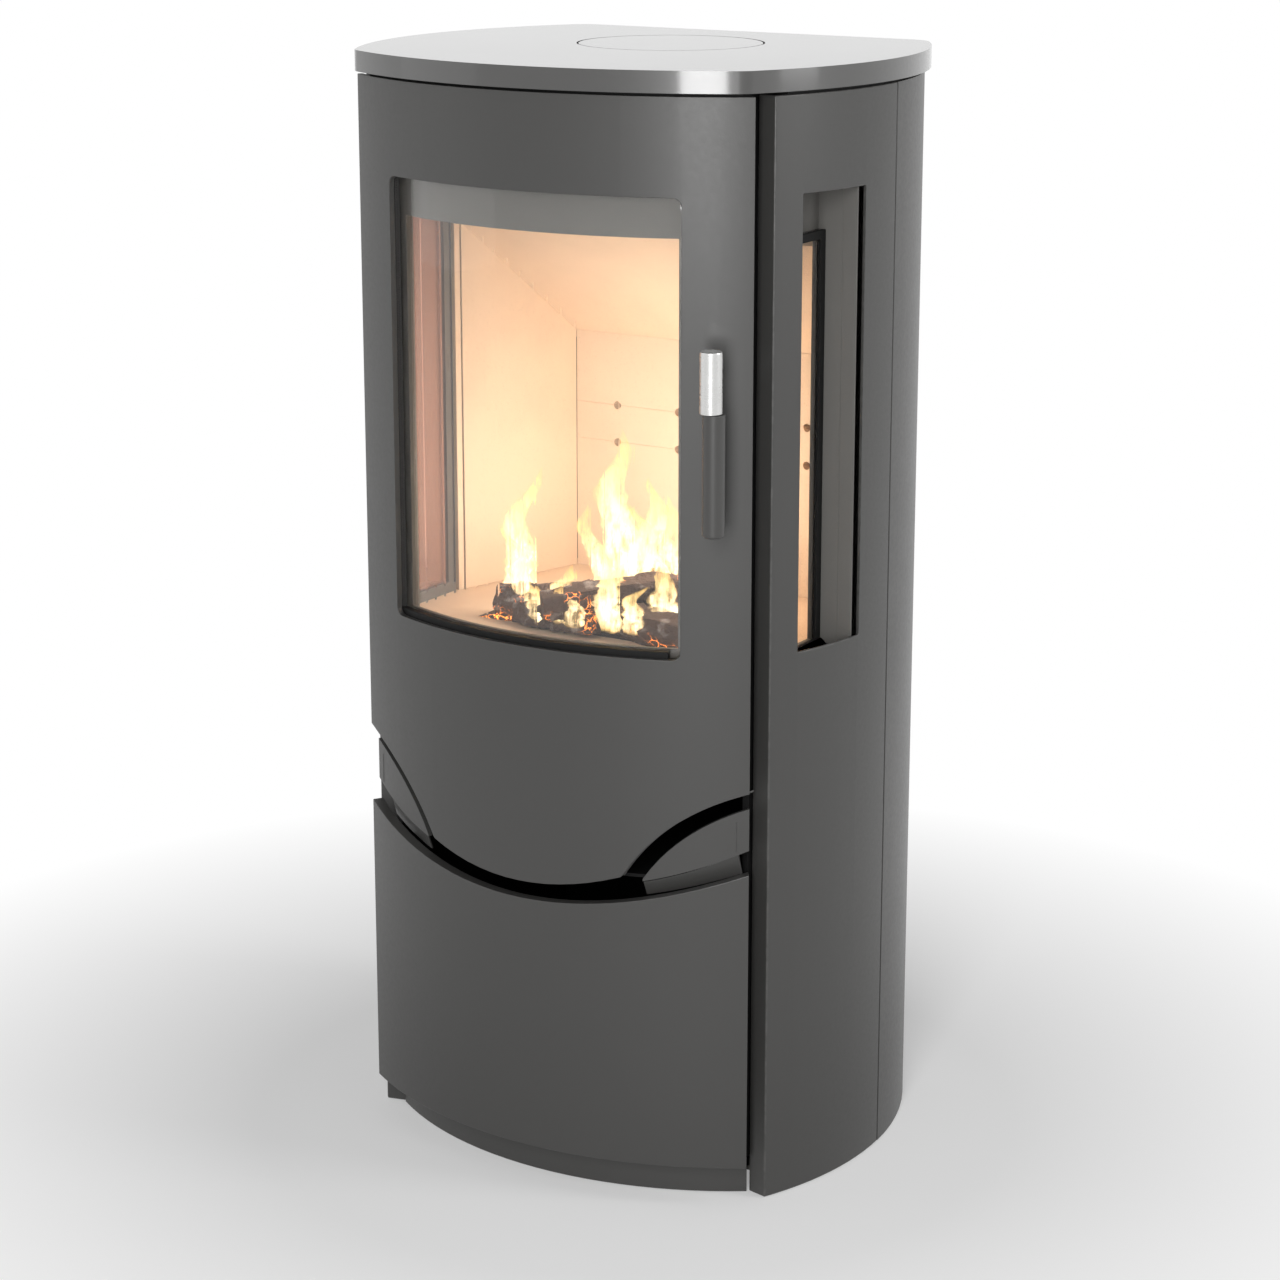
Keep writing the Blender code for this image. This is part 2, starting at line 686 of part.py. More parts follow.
def baffle_height(y):
    return BAFFLE_BACK_Z + BAFFLE_SLOPE * (CHAMBER_BACK_Y - y)


def chamber_half(y):
    share = (y - CHAMBER_FRONT_Y) / (CHAMBER_BACK_Y - CHAMBER_FRONT_Y)
    return CHAMBER_FRONT_X + (CHAMBER_BACK_X - CHAMBER_FRONT_X) * share


def build_lining():
    normal = chamber_normal()
    front = Vector((CHAMBER_FRONT_X, CHAMBER_FRONT_Y)) + normal * CLEAR
    back = Vector((CHAMBER_BACK_X, CHAMBER_BACK_Y)) + normal * CLEAR
    low = HEARTH_TOP + CLEAR
    for side, sign in (("left", -1), ("right", 1)):
        faces = []
        for depth in (0, LINER - CLEAR):
            points = [tuple(front + normal * depth), tuple(back + normal * depth)]
            levels = [[low, baffle_height(y) - CLEAR] for x, y in points]
            faces.append(grid(flip(points, sign), levels))
        slab(f"liner_{side}", faces[0], faces[1], LINING)

    edge = CHAMBER_BACK_X - CLEAR
    rear = CHAMBER_BACK_Y + CLEAR
    deep = rear + LINER
    bands = ((low, PLANK_JOINTS[0]), (PLANK_JOINTS[0] + CLEAR, PLANK_JOINTS[1]),
             (PLANK_JOINTS[1] + CLEAR, None))
    for name, (bottom, top) in zip(("lower", "middle", "upper"), bands):
        near_top = top if top else baffle_height(rear) - CLEAR
        far_top = top if top else baffle_height(deep) - CLEAR
        outer = grid([(-edge, rear), (edge, rear)], [bottom, near_top])
        inner = grid([(-edge, deep), (edge, deep)], [bottom, far_top])
        plank = slab(f"liner_back_{name}", outer, inner, LINING)
        for number, joint in enumerate(PLANK_JOINTS):
            if abs(joint - bottom) > 2 * CLEAR and top != joint:
                continue
            for hole in range(AIR_HOLES):
                x = (hole - (AIR_HOLES - 1) / 2) * AIR_HOLE_PITCH
                start = Matrix.Translation((x, rear - OVERCUT, joint))
                turn = start @ Matrix.Rotation(-math.pi / 2, 4, "X")
                size = LINER + 2 * OVERCUT
                profile = [(0, size), (AIR_HOLE_RADIUS, size), (AIR_HOLE_RADIUS, 0), (0, 0)]
                cutter = turned(f"cut_{name}_{number}_{hole}", profile, BLACK, turn, steps=12)
                boolean(plank, cutter)

    inside = firebox_half(WALL + CLEAR)
    edge = GRATE_HALF_X + CLEAR
    opening = rectangle(-edge, edge, GRATE_FRONT - CLEAR, GRATE_BACK + CLEAR)
    plate("hearth_liner", [inside, opening], HEARTH_LOW, HEARTH_TOP, LINING)

    slots = []
    for index in range(GRATE_SLOTS):
        middle = (index - (GRATE_SLOTS - 1) / 2) * 2 * GRATE_HALF_X / (GRATE_SLOTS + 1)
        slots.append(rectangle(middle - GRATE_SLOT / 2, middle + GRATE_SLOT / 2,
                               GRATE_FRONT + 2 * GRATE_LEDGE, GRATE_BACK - 2 * GRATE_LEDGE))
    frame = rectangle(-GRATE_HALF_X, GRATE_HALF_X, GRATE_FRONT, GRATE_BACK)
    plate("grate", [frame] + slots, HEARTH_LOW, HEARTH_LOW + GRATE, CAST)

    ys = (CHAMBER_FRONT_Y + CLEAR, CHAMBER_BACK_Y + BAFFLE_REST)
    under = []
    over = []
    for y in ys:
        half = chamber_half(y) + BAFFLE_REST
        z = baffle_height(y)
        under.append([(-half, y, z), (half, y, z)])
        over.append([(-half, y, z + BAFFLE), (half, y, z + BAFFLE)])
    slab("baffle_board", under, over, LINING)


def build_side_windows():
    for side, sign in (("left", -1), ("right", 1)):
        layers = (("side_glass", GLASS_WALL_X + CLEAR, PANE, PANE_LAP, GLASS, False),
                  ("side_window_frame", GLASS_WALL_X + 2 * CLEAR + PANE, SHEET, PANE_LAP, BLACK, True))
        for name, start, depth, lap, spec, hollow in layers:
            ys = [SIDE_GLASS_FRONT - lap, SIDE_GLASS_FRONT + FRAME_LAP,
                  SIDE_GLASS_BACK - FRAME_LAP, SIDE_GLASS_BACK + lap]
            zs = [SIDE_GLASS_LOW - lap, SIDE_GLASS_LOW + FRAME_LAP,
                  SIDE_GLASS_TOP - FRAME_LAP, SIDE_GLASS_TOP + lap]
            if not hollow:
                ys = [ys[0], ys[-1]]
                zs = [zs[0], zs[-1]]
            outer = grid([(sign * (start + depth), y) for y in ys], zs)
            inner = grid([(sign * start, y) for y in ys], zs)

            def keep(column, row):
                return not hollow or column != 1 or row != 1

            slab(f"{name}_{side}", outer, inner, spec, keep)


def tray(name, half, front, back, low, high, thickness, open_front, spec):
    """Open-topped box, with or without a front wall."""
    body = box(name, (-half, front, low), (half, back, high), spec)
    start = front - OVERCUT if open_front else front + thickness
    cutter = box(f"cut_{name}", (thickness - half, start, low + thickness),
                 (half - thickness, back - thickness, high + OVERCUT), BLACK)
    boolean(body, cutter)


def build_ash():
    low = FIREBOX_LOW - CLEAR - ASH_DEPTH
    tray("ash_housing", ASH_HALF_X + ASH_PLAY, ASH_FRONT, ASH_BACK + ASH_PLAY, low,
         FIREBOX_LOW - CLEAR, ASH_SHEET, True, BLACK)
    tray("ash_pan", ASH_HALF_X - CLEAR, ASH_FRONT + ASH_PLAY, ASH_BACK, low + ASH_SHEET + CLEAR,
         FIREBOX_LOW - ASH_PLAY, ASH_SHEET, False, GALVANISED)


# ---- compartment, petals and air lever -----------------------------------------------------

def build_compartment():
    low = BASE_TOP + CLEAR
    high = CEILING_Z - CLEAR
    for side, sign in (("left", -1), ("right", 1)):
        loop = rectangle(POST_INNER, POST_INNER + SHEET, POST_BACK + CLEAR, CEILING_BACK)
        plate(f"compartment_side_{side}", [flip(loop, sign)], low, high, BLACK)
    box("compartment_back", (-POST_INNER, CEILING_BACK + CLEAR, low),
        (POST_INNER, CEILING_BACK + CLEAR + SHEET, CEILING_Z + SHEET), BLACK)
    edge = POST_INNER - CLEAR
    last = front_angle(edge, CEILING_RADIUS)
    front = [front_point(CEILING_RADIUS, angle) for angle in spaced(-last, last, 20)]
    loop = front + [(edge, POST_BACK + CLEAR), (POST_INNER + SHEET, POST_BACK + CLEAR),
                    (POST_INNER + SHEET, CEILING_BACK)]
    loop += mirrored(loop[-3:])
    plate("compartment_ceiling", [loop], CEILING_Z, CEILING_Z + SHEET, BLACK)


def petal_low(x):
    """Lower edge of a petal: a shallow arc from its tip to its end."""
    share = (x - PETAL_TIP_X) / (PETAL_END_X - PETAL_TIP_X)
    return PETAL_TIP_Z + (PETAL_END_Z - PETAL_TIP_Z) * share - 4 * PETAL_SAG * share * (1 - share)


def petal_high(x):
    radius = SCALLOP_RADIUS - PETAL_GAP
    return SCALLOP_Z + math.sqrt(radius ** 2 - (SCALLOP_X - x) ** 2)


def build_petals():
    outer_radius = FRONT_RADIUS - PETAL_RECESS
    inner_radius = outer_radius - PETAL_SHEET
    xs = spaced(PETAL_TIP_X + PETAL_TIP_INSET, PETAL_END_X, 12)
    path = []
    levels = []
    for x in xs:
        path.append(front_point(outer_radius, front_angle(x, outer_radius)))
        low = petal_low(x)
        levels.append([low, max(petal_high(x), low + PETAL_TIP_HEIGHT)])
    back_path = [front_point(inner_radius, front_angle(x, outer_radius)) for x in xs]
    for side, sign in (("left", -1), ("right", 1)):
        petal = slab(f"petal_{side}", grid(flip(path, sign), levels),
                     grid(flip(back_path, sign), levels), PAINT, smooth=30)
        near = front_point(inner_radius + PETAL_SHEET / 2, front_angle(POST_INNER, inner_radius))[1]
        loop = rectangle(POST_INNER, POST_INNER + POST_WIDTH, near, POST_FRONT - CLEAR)
        arm = plate(f"arm_petal_{side}", [flip(loop, sign)], petal_low(POST_INNER) + PETAL_ARM_INSET,
                    petal_high(POST_INNER) - PETAL_ARM_INSET, BLACK)
        boolean(petal, arm, "UNION")


def build_air_lever():
    low = CEILING_Z + SHEET + CLEAR
    high = low + LEVER_SHEET
    pivot = (0, 0)
    half = LEVER_WIDTH / 2
    loop = arc(pivot, half, 0, 180, 10)
    loop += [(-half / 2, -LEVER_REACH)] + arc((0, -LEVER_REACH), half / 2, 180, 360, 8)[1:]
    hole = circle(pivot, PIN_RADIUS + CLEAR, SMALL_STEPS)
    matrix = Matrix.Translation((0, LEVER_PIVOT_Y, 0))
    lever = plate("air_lever", [loop, hole], low, high, BLACK, matrix)
    middle = low + LEVER_SHEET / 2
    profile = [(0, middle), (KNOB_RADIUS / 2, middle), (KNOB_RADIUS / 2, low - KNOB_DROP / 3),
               (KNOB_RADIUS, low - KNOB_DROP / 2), (KNOB_RADIUS, low - KNOB_DROP),
               (0, low - KNOB_DROP)]
    knob = turned("arm_air_knob", profile, BLACK,
                  Matrix.Translation((0, LEVER_PIVOT_Y - LEVER_REACH, 0)), steps=SMALL_STEPS)
    boolean(lever, knob, "UNION")
    head = high + LEVER_PIN_HEAD
    pin = [(0, head), (2 * PIN_RADIUS, head), (2 * PIN_RADIUS, high + CLEAR),
           (PIN_RADIUS, high + CLEAR), (PIN_RADIUS, low), (0, low)]
    turned("air_lever_pin", pin, GALVANISED, matrix, steps=SMALL_STEPS)


# ---- doors ---------------------------------------------------------------------------------

def door_low(x):
    """Height of the door's lower edge at a distance from its middle."""
    x = abs(x)
    if x <= TONGUE_HALF:
        return TONGUE_LOW + TONGUE_RISE * (x / TONGUE_HALF) ** 2
    return SCALLOP_Z + math.sqrt(SCALLOP_RADIUS ** 2 - (SCALLOP_X - x) ** 2)


def corner_cut(x):
    """How far a window corner closes in at a distance from the middle."""
    over = abs(x) - (WINDOW_HALF - WINDOW_CORNER)
    if over <= 0:
        return 0
    return WINDOW_CORNER - math.sqrt(max(WINDOW_CORNER ** 2 - over ** 2, 0))


def build_door_panel():
    xs = spaced(0, TONGUE_HALF, 7)
    xs += spaced(TONGUE_HALF + TONGUE_CREASE, WINDOW_HALF - WINDOW_CORNER, 6)
    xs += [WINDOW_HALF - WINDOW_CORNER * share for share in CORNER_SHARES]
    xs += spaced(WINDOW_HALF, DOOR_HALF, 6)[1:]
    xs = [-x for x in reversed(xs[1:])] + xs
    angles = [front_angle(x) for x in xs]
    levels = []
    for x in xs:
        cut = corner_cut(x) if abs(x) <= WINDOW_HALF else WINDOW_CORNER
        levels.append([door_low(x), WINDOW_LOW + cut, WINDOW_TOP - cut, SKIN_TOP])

    def keep(column, row):
        middle = (xs[column] + xs[column + 1]) / 2
        return row != 1 or abs(middle) > WINDOW_HALF

    panel = bowed("door_panel", angles, FRONT_RADIUS, FRONT_RADIUS - DOOR_SKIN, levels, PAINT, keep)
    reach = 3 * OVERCUT
    bore = STEM_RADIUS + STEM_PLAY
    hole = turned("cut_stem_hole", [(0, reach), (bore, reach), (bore, -reach), (0, -reach)], BLACK,
                  handle_matrix(FRONT_RADIUS), steps=SMALL_STEPS)
    boolean(panel, hole)


def ring(name, outer_radius, inner_radius, spec, outer_half, inner_half, levels):
    """Bowed rectangular frame; halves are distances from the middle at the outer face."""
    edge = front_angle(outer_half, outer_radius)
    inner = front_angle(inner_half, outer_radius)
    angles = [-edge] + spaced(-inner, inner, BOW_STEPS) + [edge]

    def keep(column, row):
        return column in (0, len(angles) - 2) or row != 1

    return bowed(name, angles, outer_radius, inner_radius, levels, spec, keep)


def build_door_glass():
    skin_back = FRONT_RADIUS - DOOR_SKIN - CLEAR
    glass_half = WINDOW_HALF + GLASS_SIDE_LAP
    low = WINDOW_LOW - GLASS_LAP
    high = WINDOW_TOP + GLASS_LAP
    ring("glass_gasket", skin_back, GLASS_OUTER + CLEAR, ROPE, glass_half, WINDOW_HALF,
         [low, WINDOW_LOW - FRAME_LAP, WINDOW_TOP + FRAME_LAP, high])
    edge = front_angle(glass_half, GLASS_OUTER)
    bowed("door_glass", spaced(-edge, edge, BOW_STEPS), GLASS_OUTER, GLASS_INNER, [low, high], GLASS)
    ring("door_inner_frame", INNER_OUTER, INNER_INNER, INNER_STEEL, INNER_EDGE, INNER_HALF,
         [INNER_EDGE_LOW, INNER_LOW, INNER_TOP, INNER_EDGE_TOP])
    seal_outer = INNER_EDGE - SEAL_INSET
    ring("door_seal", INNER_INNER - CLEAR, FIREBOX_RADIUS + CLEAR, ROPE, seal_outer,
         seal_outer - SEAL_WIDTH,
         [INNER_EDGE_LOW + SEAL_INSET, INNER_EDGE_LOW + SEAL_INSET + SEAL_WIDTH,
          INNER_EDGE_TOP - SEAL_INSET - SEAL_WIDTH, INNER_EDGE_TOP - SEAL_INSET])
    start = -front_angle(WINDOW_HALF - 2 * CLEAR, skin_back)
    end = front_angle(TRIM_END, skin_back)
    trim_low = WINDOW_LOW - FRAME_LAP + CLEAR
    bowed("window_sill_trim", spaced(start, end, BOW_STEPS), skin_back, GLASS_OUTER + CLEAR,
          [trim_low, trim_low + TRIM_HEIGHT], BLACK)


def lower_top(x):
    return LOWER_MIDDLE + LOWER_RISE * (x / DOOR_HALF) ** 2


def build_lower_door():
    """Bowed sheet with a flange folded in along its hollowed top edge."""
    angles = [front_angle(x) for x in spaced(-DOOR_HALF, DOOR_HALF, 32)]
    skin_back = FRONT_RADIUS - DOOR_SKIN
    rows = ((skin_back, None), (skin_back, LOWER_FOLD),
            (FRONT_RADIUS - LOWER_FLANGE, LOWER_FLANGE_SHEET), (FRONT_RADIUS - LOWER_FLANGE, 0))
    outer = []
    inner = []
    for angle in angles:
        top = lower_top(front_point(FRONT_RADIUS, angle)[0])
        heights = [LOWER_LOW if drop is None else top - drop for radius, drop in rows]
        outer.append([(*front_point(FRONT_RADIUS, angle), z) for z in heights])
        inner.append([(*front_point(row[0], angle), z) for row, z in zip(rows, heights)])
    slab("lower_door_panel", outer, inner, PAINT, smooth=30)


def hinge_axis():
    return front_point(HINGE_RADIUS, -HINGE_ANGLE)


def hinge_lug(name, face_radius, low):
    """Plate with a pin hole and a foot that follows the back of a door."""
    axis = hinge_axis()
    foot = [front_point(face_radius - CLEAR, -HINGE_ANGLE + turn)
            for turn in spaced(-LUG_SPREAD / 2, LUG_SPREAD, 4)]
    inward = heading(axis, FRONT_CENTRE)
    loop = foot + arc(axis, LUG_RADIUS, inward - LUG_SWEEP, inward + LUG_SWEEP, 8)
    hole = circle(axis, PIN_RADIUS + CLEAR, SMALL_STEPS)
    plate(name, [loop, hole], low, low + LUG_HEIGHT, BLACK)


def hinge_bracket(name, lug_low, above):
    """Bracket on the left post whose pin stands in a lug."""
    axis = hinge_axis()
    if above:
        low = lug_low + LUG_HEIGHT + CLEAR
        pin_low, pin_high = lug_low, low + BRACKET_HEIGHT / 2
    else:
        low = lug_low - CLEAR - BRACKET_HEIGHT
        pin_low, pin_high = low + BRACKET_HEIGHT / 2, lug_low + LUG_HEIGHT
    right = axis[0] + LUG_RADIUS
    left = right - BRACKET_WIDTH
    loop = arc(axis, LUG_RADIUS, BRACKET_START, 360, 10)
    loop += [(right, POST_FRONT - CLEAR), (left, POST_FRONT - CLEAR)]
    bracket = plate(name, [loop], low, low + BRACKET_HEIGHT, BLACK)
    pin = plate(f"arm_{name}", [circle(axis, PIN_RADIUS, SMALL_STEPS)], pin_low, pin_high, GALVANISED)
    boolean(bracket, pin, "UNION")


def build_hinges():
    door_face = FRONT_RADIUS - DOOR_SKIN
    hinge_lug("door_hinge_upper", door_face, DOOR_LUG_HIGH)
    hinge_lug("door_hinge_lower", door_face, DOOR_LUG_LOW)
    hinge_lug("lower_door_hinge_upper", door_face, LOWER_LUG_HIGH)
    hinge_lug("lower_door_hinge_lower", door_face, LOWER_LUG_LOW)
    hinge_bracket("door_pivot_upper", DOOR_LUG_HIGH, True)
    hinge_bracket("door_pivot_lower", DOOR_LUG_LOW, False)
    hinge_bracket("lower_door_pivot_upper", LOWER_LUG_HIGH, True)
    hinge_bracket("lower_door_pivot_lower", LOWER_LUG_LOW, False)


def handle_matrix(radius):
    """Frame on the handle axis: local Z points out of the door, local X along the door to the right."""
    x, y = front_point(radius, HANDLE_ANGLE)
    turn = math.radians(HANDLE_ANGLE)
    out = Vector((math.sin(turn), -math.cos(turn), 0))
    along = Vector((math.cos(turn), math.sin(turn), 0))
    up = out.cross(along)
    frame = Matrix((along, up, out)).transposed().to_4x4()
    return Matrix.Translation((x, y, HANDLE_Z)) @ frame


def build_handle():
    centre = FRONT_RADIUS + HANDLE_REACH
    matrix = handle_matrix(centre)
    stem_out = -HANDLE_RADIUS - CLEAR
    stem_in = -HANDLE_REACH - HOOK_BACK
    face = -HANDLE_REACH + CLEAR
    stem = [(0, stem_out), (STEM_RADIUS, stem_out), (STEM_RADIUS, face + COLLAR_LENGTH),
            (STEM_COLLAR, face + COLLAR_STRAIGHT), (STEM_COLLAR, face), (STEM_RADIUS, face),
            (STEM_RADIUS, stem_in), (0, stem_in)]
    turned("handle_stem", stem, GALVANISED, matrix, steps=SMALL_STEPS)

    upright = matrix @ Matrix.Rotation(math.pi / 2, 4, "X").inverted()
    cap_low = -CAP_LENGTH / 2
    cap = [(0, CAP_LENGTH / 2), (HANDLE_RADIUS - CAP_CHAMFER, CAP_LENGTH / 2),
           (HANDLE_RADIUS, CAP_LENGTH / 2 - CAP_CHAMFER), (HANDLE_RADIUS, cap_low), (0, cap_low)]
    turned("handle_cap", cap, STAINLESS, upright, steps=24)
    top = cap_low - CLEAR
    low = top - GRIP_LENGTH
    grip = [(0, top), (HANDLE_RADIUS, top)]
    for turn in (0, 30, 60, 90):
        angle = math.radians(turn)
        grip.append((HANDLE_RADIUS - GRIP_ROUND * (1 - math.cos(angle)),
                     low + GRIP_ROUND * (1 - math.sin(angle))))
    grip.append((0, low))
    turned("handle_grip", grip, PAINT, upright @ Matrix.Translation((GRIP_SHIFT, 0, 0)), steps=24)

    near = stem_in + HOOK_DEPTH
    half = HOOK_HEIGHT / 2
    loop = arc((0, 0), half, 90, 270, 8) + [(HOOK_REACH, -half), (HOOK_REACH, 0), (half, half)]
    hole = circle((0, 0), STEM_RADIUS + CLEAR, SMALL_STEPS)
    plate("latch_hook", [loop, hole], stem_in, near, GALVANISED, matrix)


def build_keeper():
    """Strike plate on the firebox front, behind the hook."""
    outer = FRONT_RADIUS - HOOK_BACK - CLEAR
    inner = FIREBOX_RADIUS + CLEAR
    last = front_angle(POST_INNER, inner) - KEEPER_INSET
    levels = [HANDLE_Z - KEEPER_HALF, HANDLE_Z + KEEPER_HALF]
    bowed("latch_keeper", spaced(last - KEEPER_SPAN, last, 4), outer, inner, levels, GALVANISED)


def build():
    clear_scene()
    build_base()
    build_posts()
    build_side_panels()
    build_rear_corners()
    build_back_panel()
    build_top()
    build_firebox()
    build_flue()
    build_lining()
    build_side_windows()
    build_ash()
    build_compartment()
    build_petals()
    build_air_lever()
    build_door_panel()
    build_door_glass()
    build_lower_door()
    build_hinges()
    build_handle()
    build_keeper()


build()
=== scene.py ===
import json
import math
import random
import bmesh
import bpy
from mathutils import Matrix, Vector, noise


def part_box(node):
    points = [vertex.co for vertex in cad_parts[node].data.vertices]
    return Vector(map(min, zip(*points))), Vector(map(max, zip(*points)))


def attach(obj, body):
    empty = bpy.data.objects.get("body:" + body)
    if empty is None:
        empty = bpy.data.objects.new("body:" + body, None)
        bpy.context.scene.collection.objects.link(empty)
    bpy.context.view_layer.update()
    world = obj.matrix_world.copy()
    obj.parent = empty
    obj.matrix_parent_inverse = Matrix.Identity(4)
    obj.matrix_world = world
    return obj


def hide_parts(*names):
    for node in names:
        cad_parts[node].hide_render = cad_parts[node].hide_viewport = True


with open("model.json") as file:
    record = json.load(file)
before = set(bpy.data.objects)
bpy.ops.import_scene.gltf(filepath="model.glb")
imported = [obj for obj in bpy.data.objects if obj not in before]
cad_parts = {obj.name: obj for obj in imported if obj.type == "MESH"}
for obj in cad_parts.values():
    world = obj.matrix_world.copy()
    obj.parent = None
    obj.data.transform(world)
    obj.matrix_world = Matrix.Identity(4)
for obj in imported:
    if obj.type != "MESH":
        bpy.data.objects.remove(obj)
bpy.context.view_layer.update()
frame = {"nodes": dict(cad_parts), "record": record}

bl_info = {
    "name": "Bowed wood burning stove",
    "version": (1, 0, 0),
    "blender": (4, 5, 0),
    "location": "View3D > Sidebar > Stove",
    "description": "Finishes, fine shapes, fire and studio for a bowed wood burning stove",
    "category": "Object",
}

# Sizes are in metres. They repeat the part's own.
MM = 0.001
FRONT_CENTRE_Y = 0.1715
FRONT_RADIUS = 0.370
DOOR_SHEET = 0.005
SCALLOP_CENTRE = (0.2518, 0.2150)
SCALLOP_RADIUS = 0.176
SCALLOP_START = 0.0995
SCALLOP_INNER = 0.090
DOOR_HALF = 0.2005
PETAL_RADIUS = 0.363
PETAL_TIP = (0.1145, 0.2985)
PETAL_END = (0.1890, 0.3270)
PETAL_SAG = 0.0108
LOWER_DOOR_TOP, LOWER_DOOR_RISE, LOWER_DOOR_HALF = 0.2705, 0.0395, 0.201
HEARTH_Z = 0.4846
SIDE_CENTRE = (-0.0720, 0.0175)
SIDE_INNER_RADIUS = 0.3065

# Visual pieces that the part doesn't have.
ROLL_THICK = 2.0 * MM
ROLL_STEPS = 28
FLANGE_STEPS = 20
FLANGE_REACH = {"right": 1.0, "left": 0.78}
JAMB_IN, JAMB_OUT = 0.1975, 0.2318
JAMB_FRONT, JAMB_BACK = -0.0165, -0.0150
JAMB_LOW, JAMB_TOP = 0.460, 0.952
SILL_IN, SILL_FRONT, SILL_Z, SILL_SHEET = 0.2026, -0.0930, 0.4935, 1.5 * MM
SILL_STEPS = 8
SIDES = {"left": -1, "right": 1}


# ---- sizes and colours that may be changed ---------------------------------------------------

def colour_prop(name, description, default):
    return bpy.props.FloatVectorProperty(name=name, description=description, default=default,
                                         subtype="COLOR", size=3, min=0.0, max=1.0)


def length_prop(name, description, default):
    return bpy.props.FloatProperty(name=name, description=description, default=default,
                                   unit="LENGTH", precision=5, min=0.0)


class StoveFinish(bpy.types.PropertyGroup):
    paint: colour_prop("Paint", "Heat-proof satin paint of the casing", (0.042, 0.0412, 0.0394))
    # Near-black, darker than the paint alone would be, so the gaps between door and casing read as shadow:
    # real black paint with painted shade on top.
    black: colour_prop("Black paint", "Matt paint of posts, brackets and window frames",
                       (0.0045, 0.0045, 0.0045))
    # Grey of the inner sheets, set lighter than the casing paint so that the sheets behind the door glass,
    # which holds back the studio light, still look lit: grey paint with painted light on top.
    inner: colour_prop("Inner steel", "Painted sheet of the firebox and the door frame",
                       (0.125, 0.121, 0.113))
    board: colour_prop("Fire board", "Dry lining board", (0.800, 0.610, 0.430))
    iron: colour_prop("Cast iron", "Grate and flue collar", (0.045, 0.043, 0.041))
    zinc: colour_prop("Zinc", "Plated feet, pan and latch", (0.500, 0.510, 0.520))
    steel: colour_prop("Stainless steel", "Brushed cap of the handle", (0.620, 0.620, 0.610))
    rope: colour_prop("Seal rope", "Knitted glass-fibre rope", (0.022, 0.021, 0.020))
    glass: colour_prop("Glass", "Clear heat-proof glass", (0.985, 0.975, 0.960))
    # Tint of the left side glass: a painted reflection of the fire's glow, not smoke.
    glow_tint: colour_prop("Glow-tinted glass", "Left side glass, tinted with a painted reflection of the fire's glow", (0.90, 0.52, 0.40))


class StoveShape(bpy.types.PropertyGroup):
    sheet_round: length_prop("Sheet edge", "Rounding of cut sheet edges", 0.0006)
    bend_round: length_prop("Bend", "Rounding of folded edges", 0.0014)
    roll_depth: length_prop("Rolled edge", "Depth of the turned-in edge beside the door's tongue", 0.0032)
    flange_fall: length_prop("Petal flange", "Height of the flange folded under a petal", 0.024)
    screw_radius: length_prop("Screw head", "Radius of the back panel's screw heads", 0.0032)


class StoveFire(bpy.types.PropertyGroup):
    log_radius: length_prop("Log", "Rough radius of a split log", 0.024)
    flame_height: length_prop("Flame", "Height of the tallest flame", 0.150)
    glow: bpy.props.FloatProperty(name="Glow", description="Power of the fire's light in watts",
                                  default=1.35, min=0.0)


# ---- shader helpers --------------------------------------------------------------------------

def put(tree, kind, settings=None, inputs=None):
    """Add a node; inputs maps a socket's name or index to a value or to another socket."""
    made = tree.nodes.new(kind)
    for key, value in (settings or {}).items():
        setattr(made, key, value)
    for key, value in (inputs or {}).items():
        socket = made.inputs[key]
        if isinstance(value, bpy.types.NodeSocket):
            tree.links.new(value, socket)
        elif isinstance(value, (tuple, list)) and socket.type == "RGBA" and len(value) == 3:
            socket.default_value = (*value, 1.0)
        else:
            socket.default_value = value
    return made


def maths(tree, operation, first, second=0.0, clamp=False):
    return put(tree, "ShaderNodeMath", {"operation": operation, "use_clamp": clamp},
               {0: first, 1: second}).outputs[0]


def remap(tree, value, low, high, to_low=0.0, to_high=1.0):
    return put(tree, "ShaderNodeMapRange", {"clamp": True},
               {"Value": value, "From Min": low, "From Max": high,
                "To Min": to_low, "To Max": to_high}).outputs["Result"]


def blend_colour(tree, share, first, second, how="MIX"):
    mix = put(tree, "ShaderNodeMix", {"data_type": "RGBA", "blend_type": how})
    for index, value in ((0, share), (6, first), (7, second)):
        socket = mix.inputs[index]
        if isinstance(value, bpy.types.NodeSocket):
            tree.links.new(value, socket)
        elif index == 0:
            socket.default_value = value
        else:
            socket.default_value = (*value[:3], 1.0)
    return mix.outputs[2]


def noise_at(tree, vector, scale, detail=3.0, rough=0.55):
    return put(tree, "ShaderNodeTexNoise", None,
               {"Vector": vector, "Scale": scale, "Detail": detail, "Roughness": rough}).outputs[0]


def new_group(name, inputs, outputs):
    kinds = {"colour": "NodeSocketColor", "value": "NodeSocketFloat", "vector": "NodeSocketVector"}
    tree = bpy.data.node_groups.new(name, "ShaderNodeTree")
    for label, kind, default in inputs:
        socket = tree.interface.new_socket(name=label, in_out="INPUT", socket_type=kinds[kind])
        socket.default_value = default
    for label, kind in outputs:
        tree.interface.new_socket(name=label, in_out="OUTPUT", socket_type=kinds[kind])
    enter = tree.nodes.new("NodeGroupInput")
    leave = tree.nodes.new("NodeGroupOutput")
    return tree, enter.outputs, leave.inputs


def object_coords(tree):
    return tree.nodes.new("ShaderNodeTexCoord").outputs["Object"]


def stretched(tree, vector, scale):
    return put(tree, "ShaderNodeMapping", None, {"Vector": vector, "Scale": scale}).outputs[0]


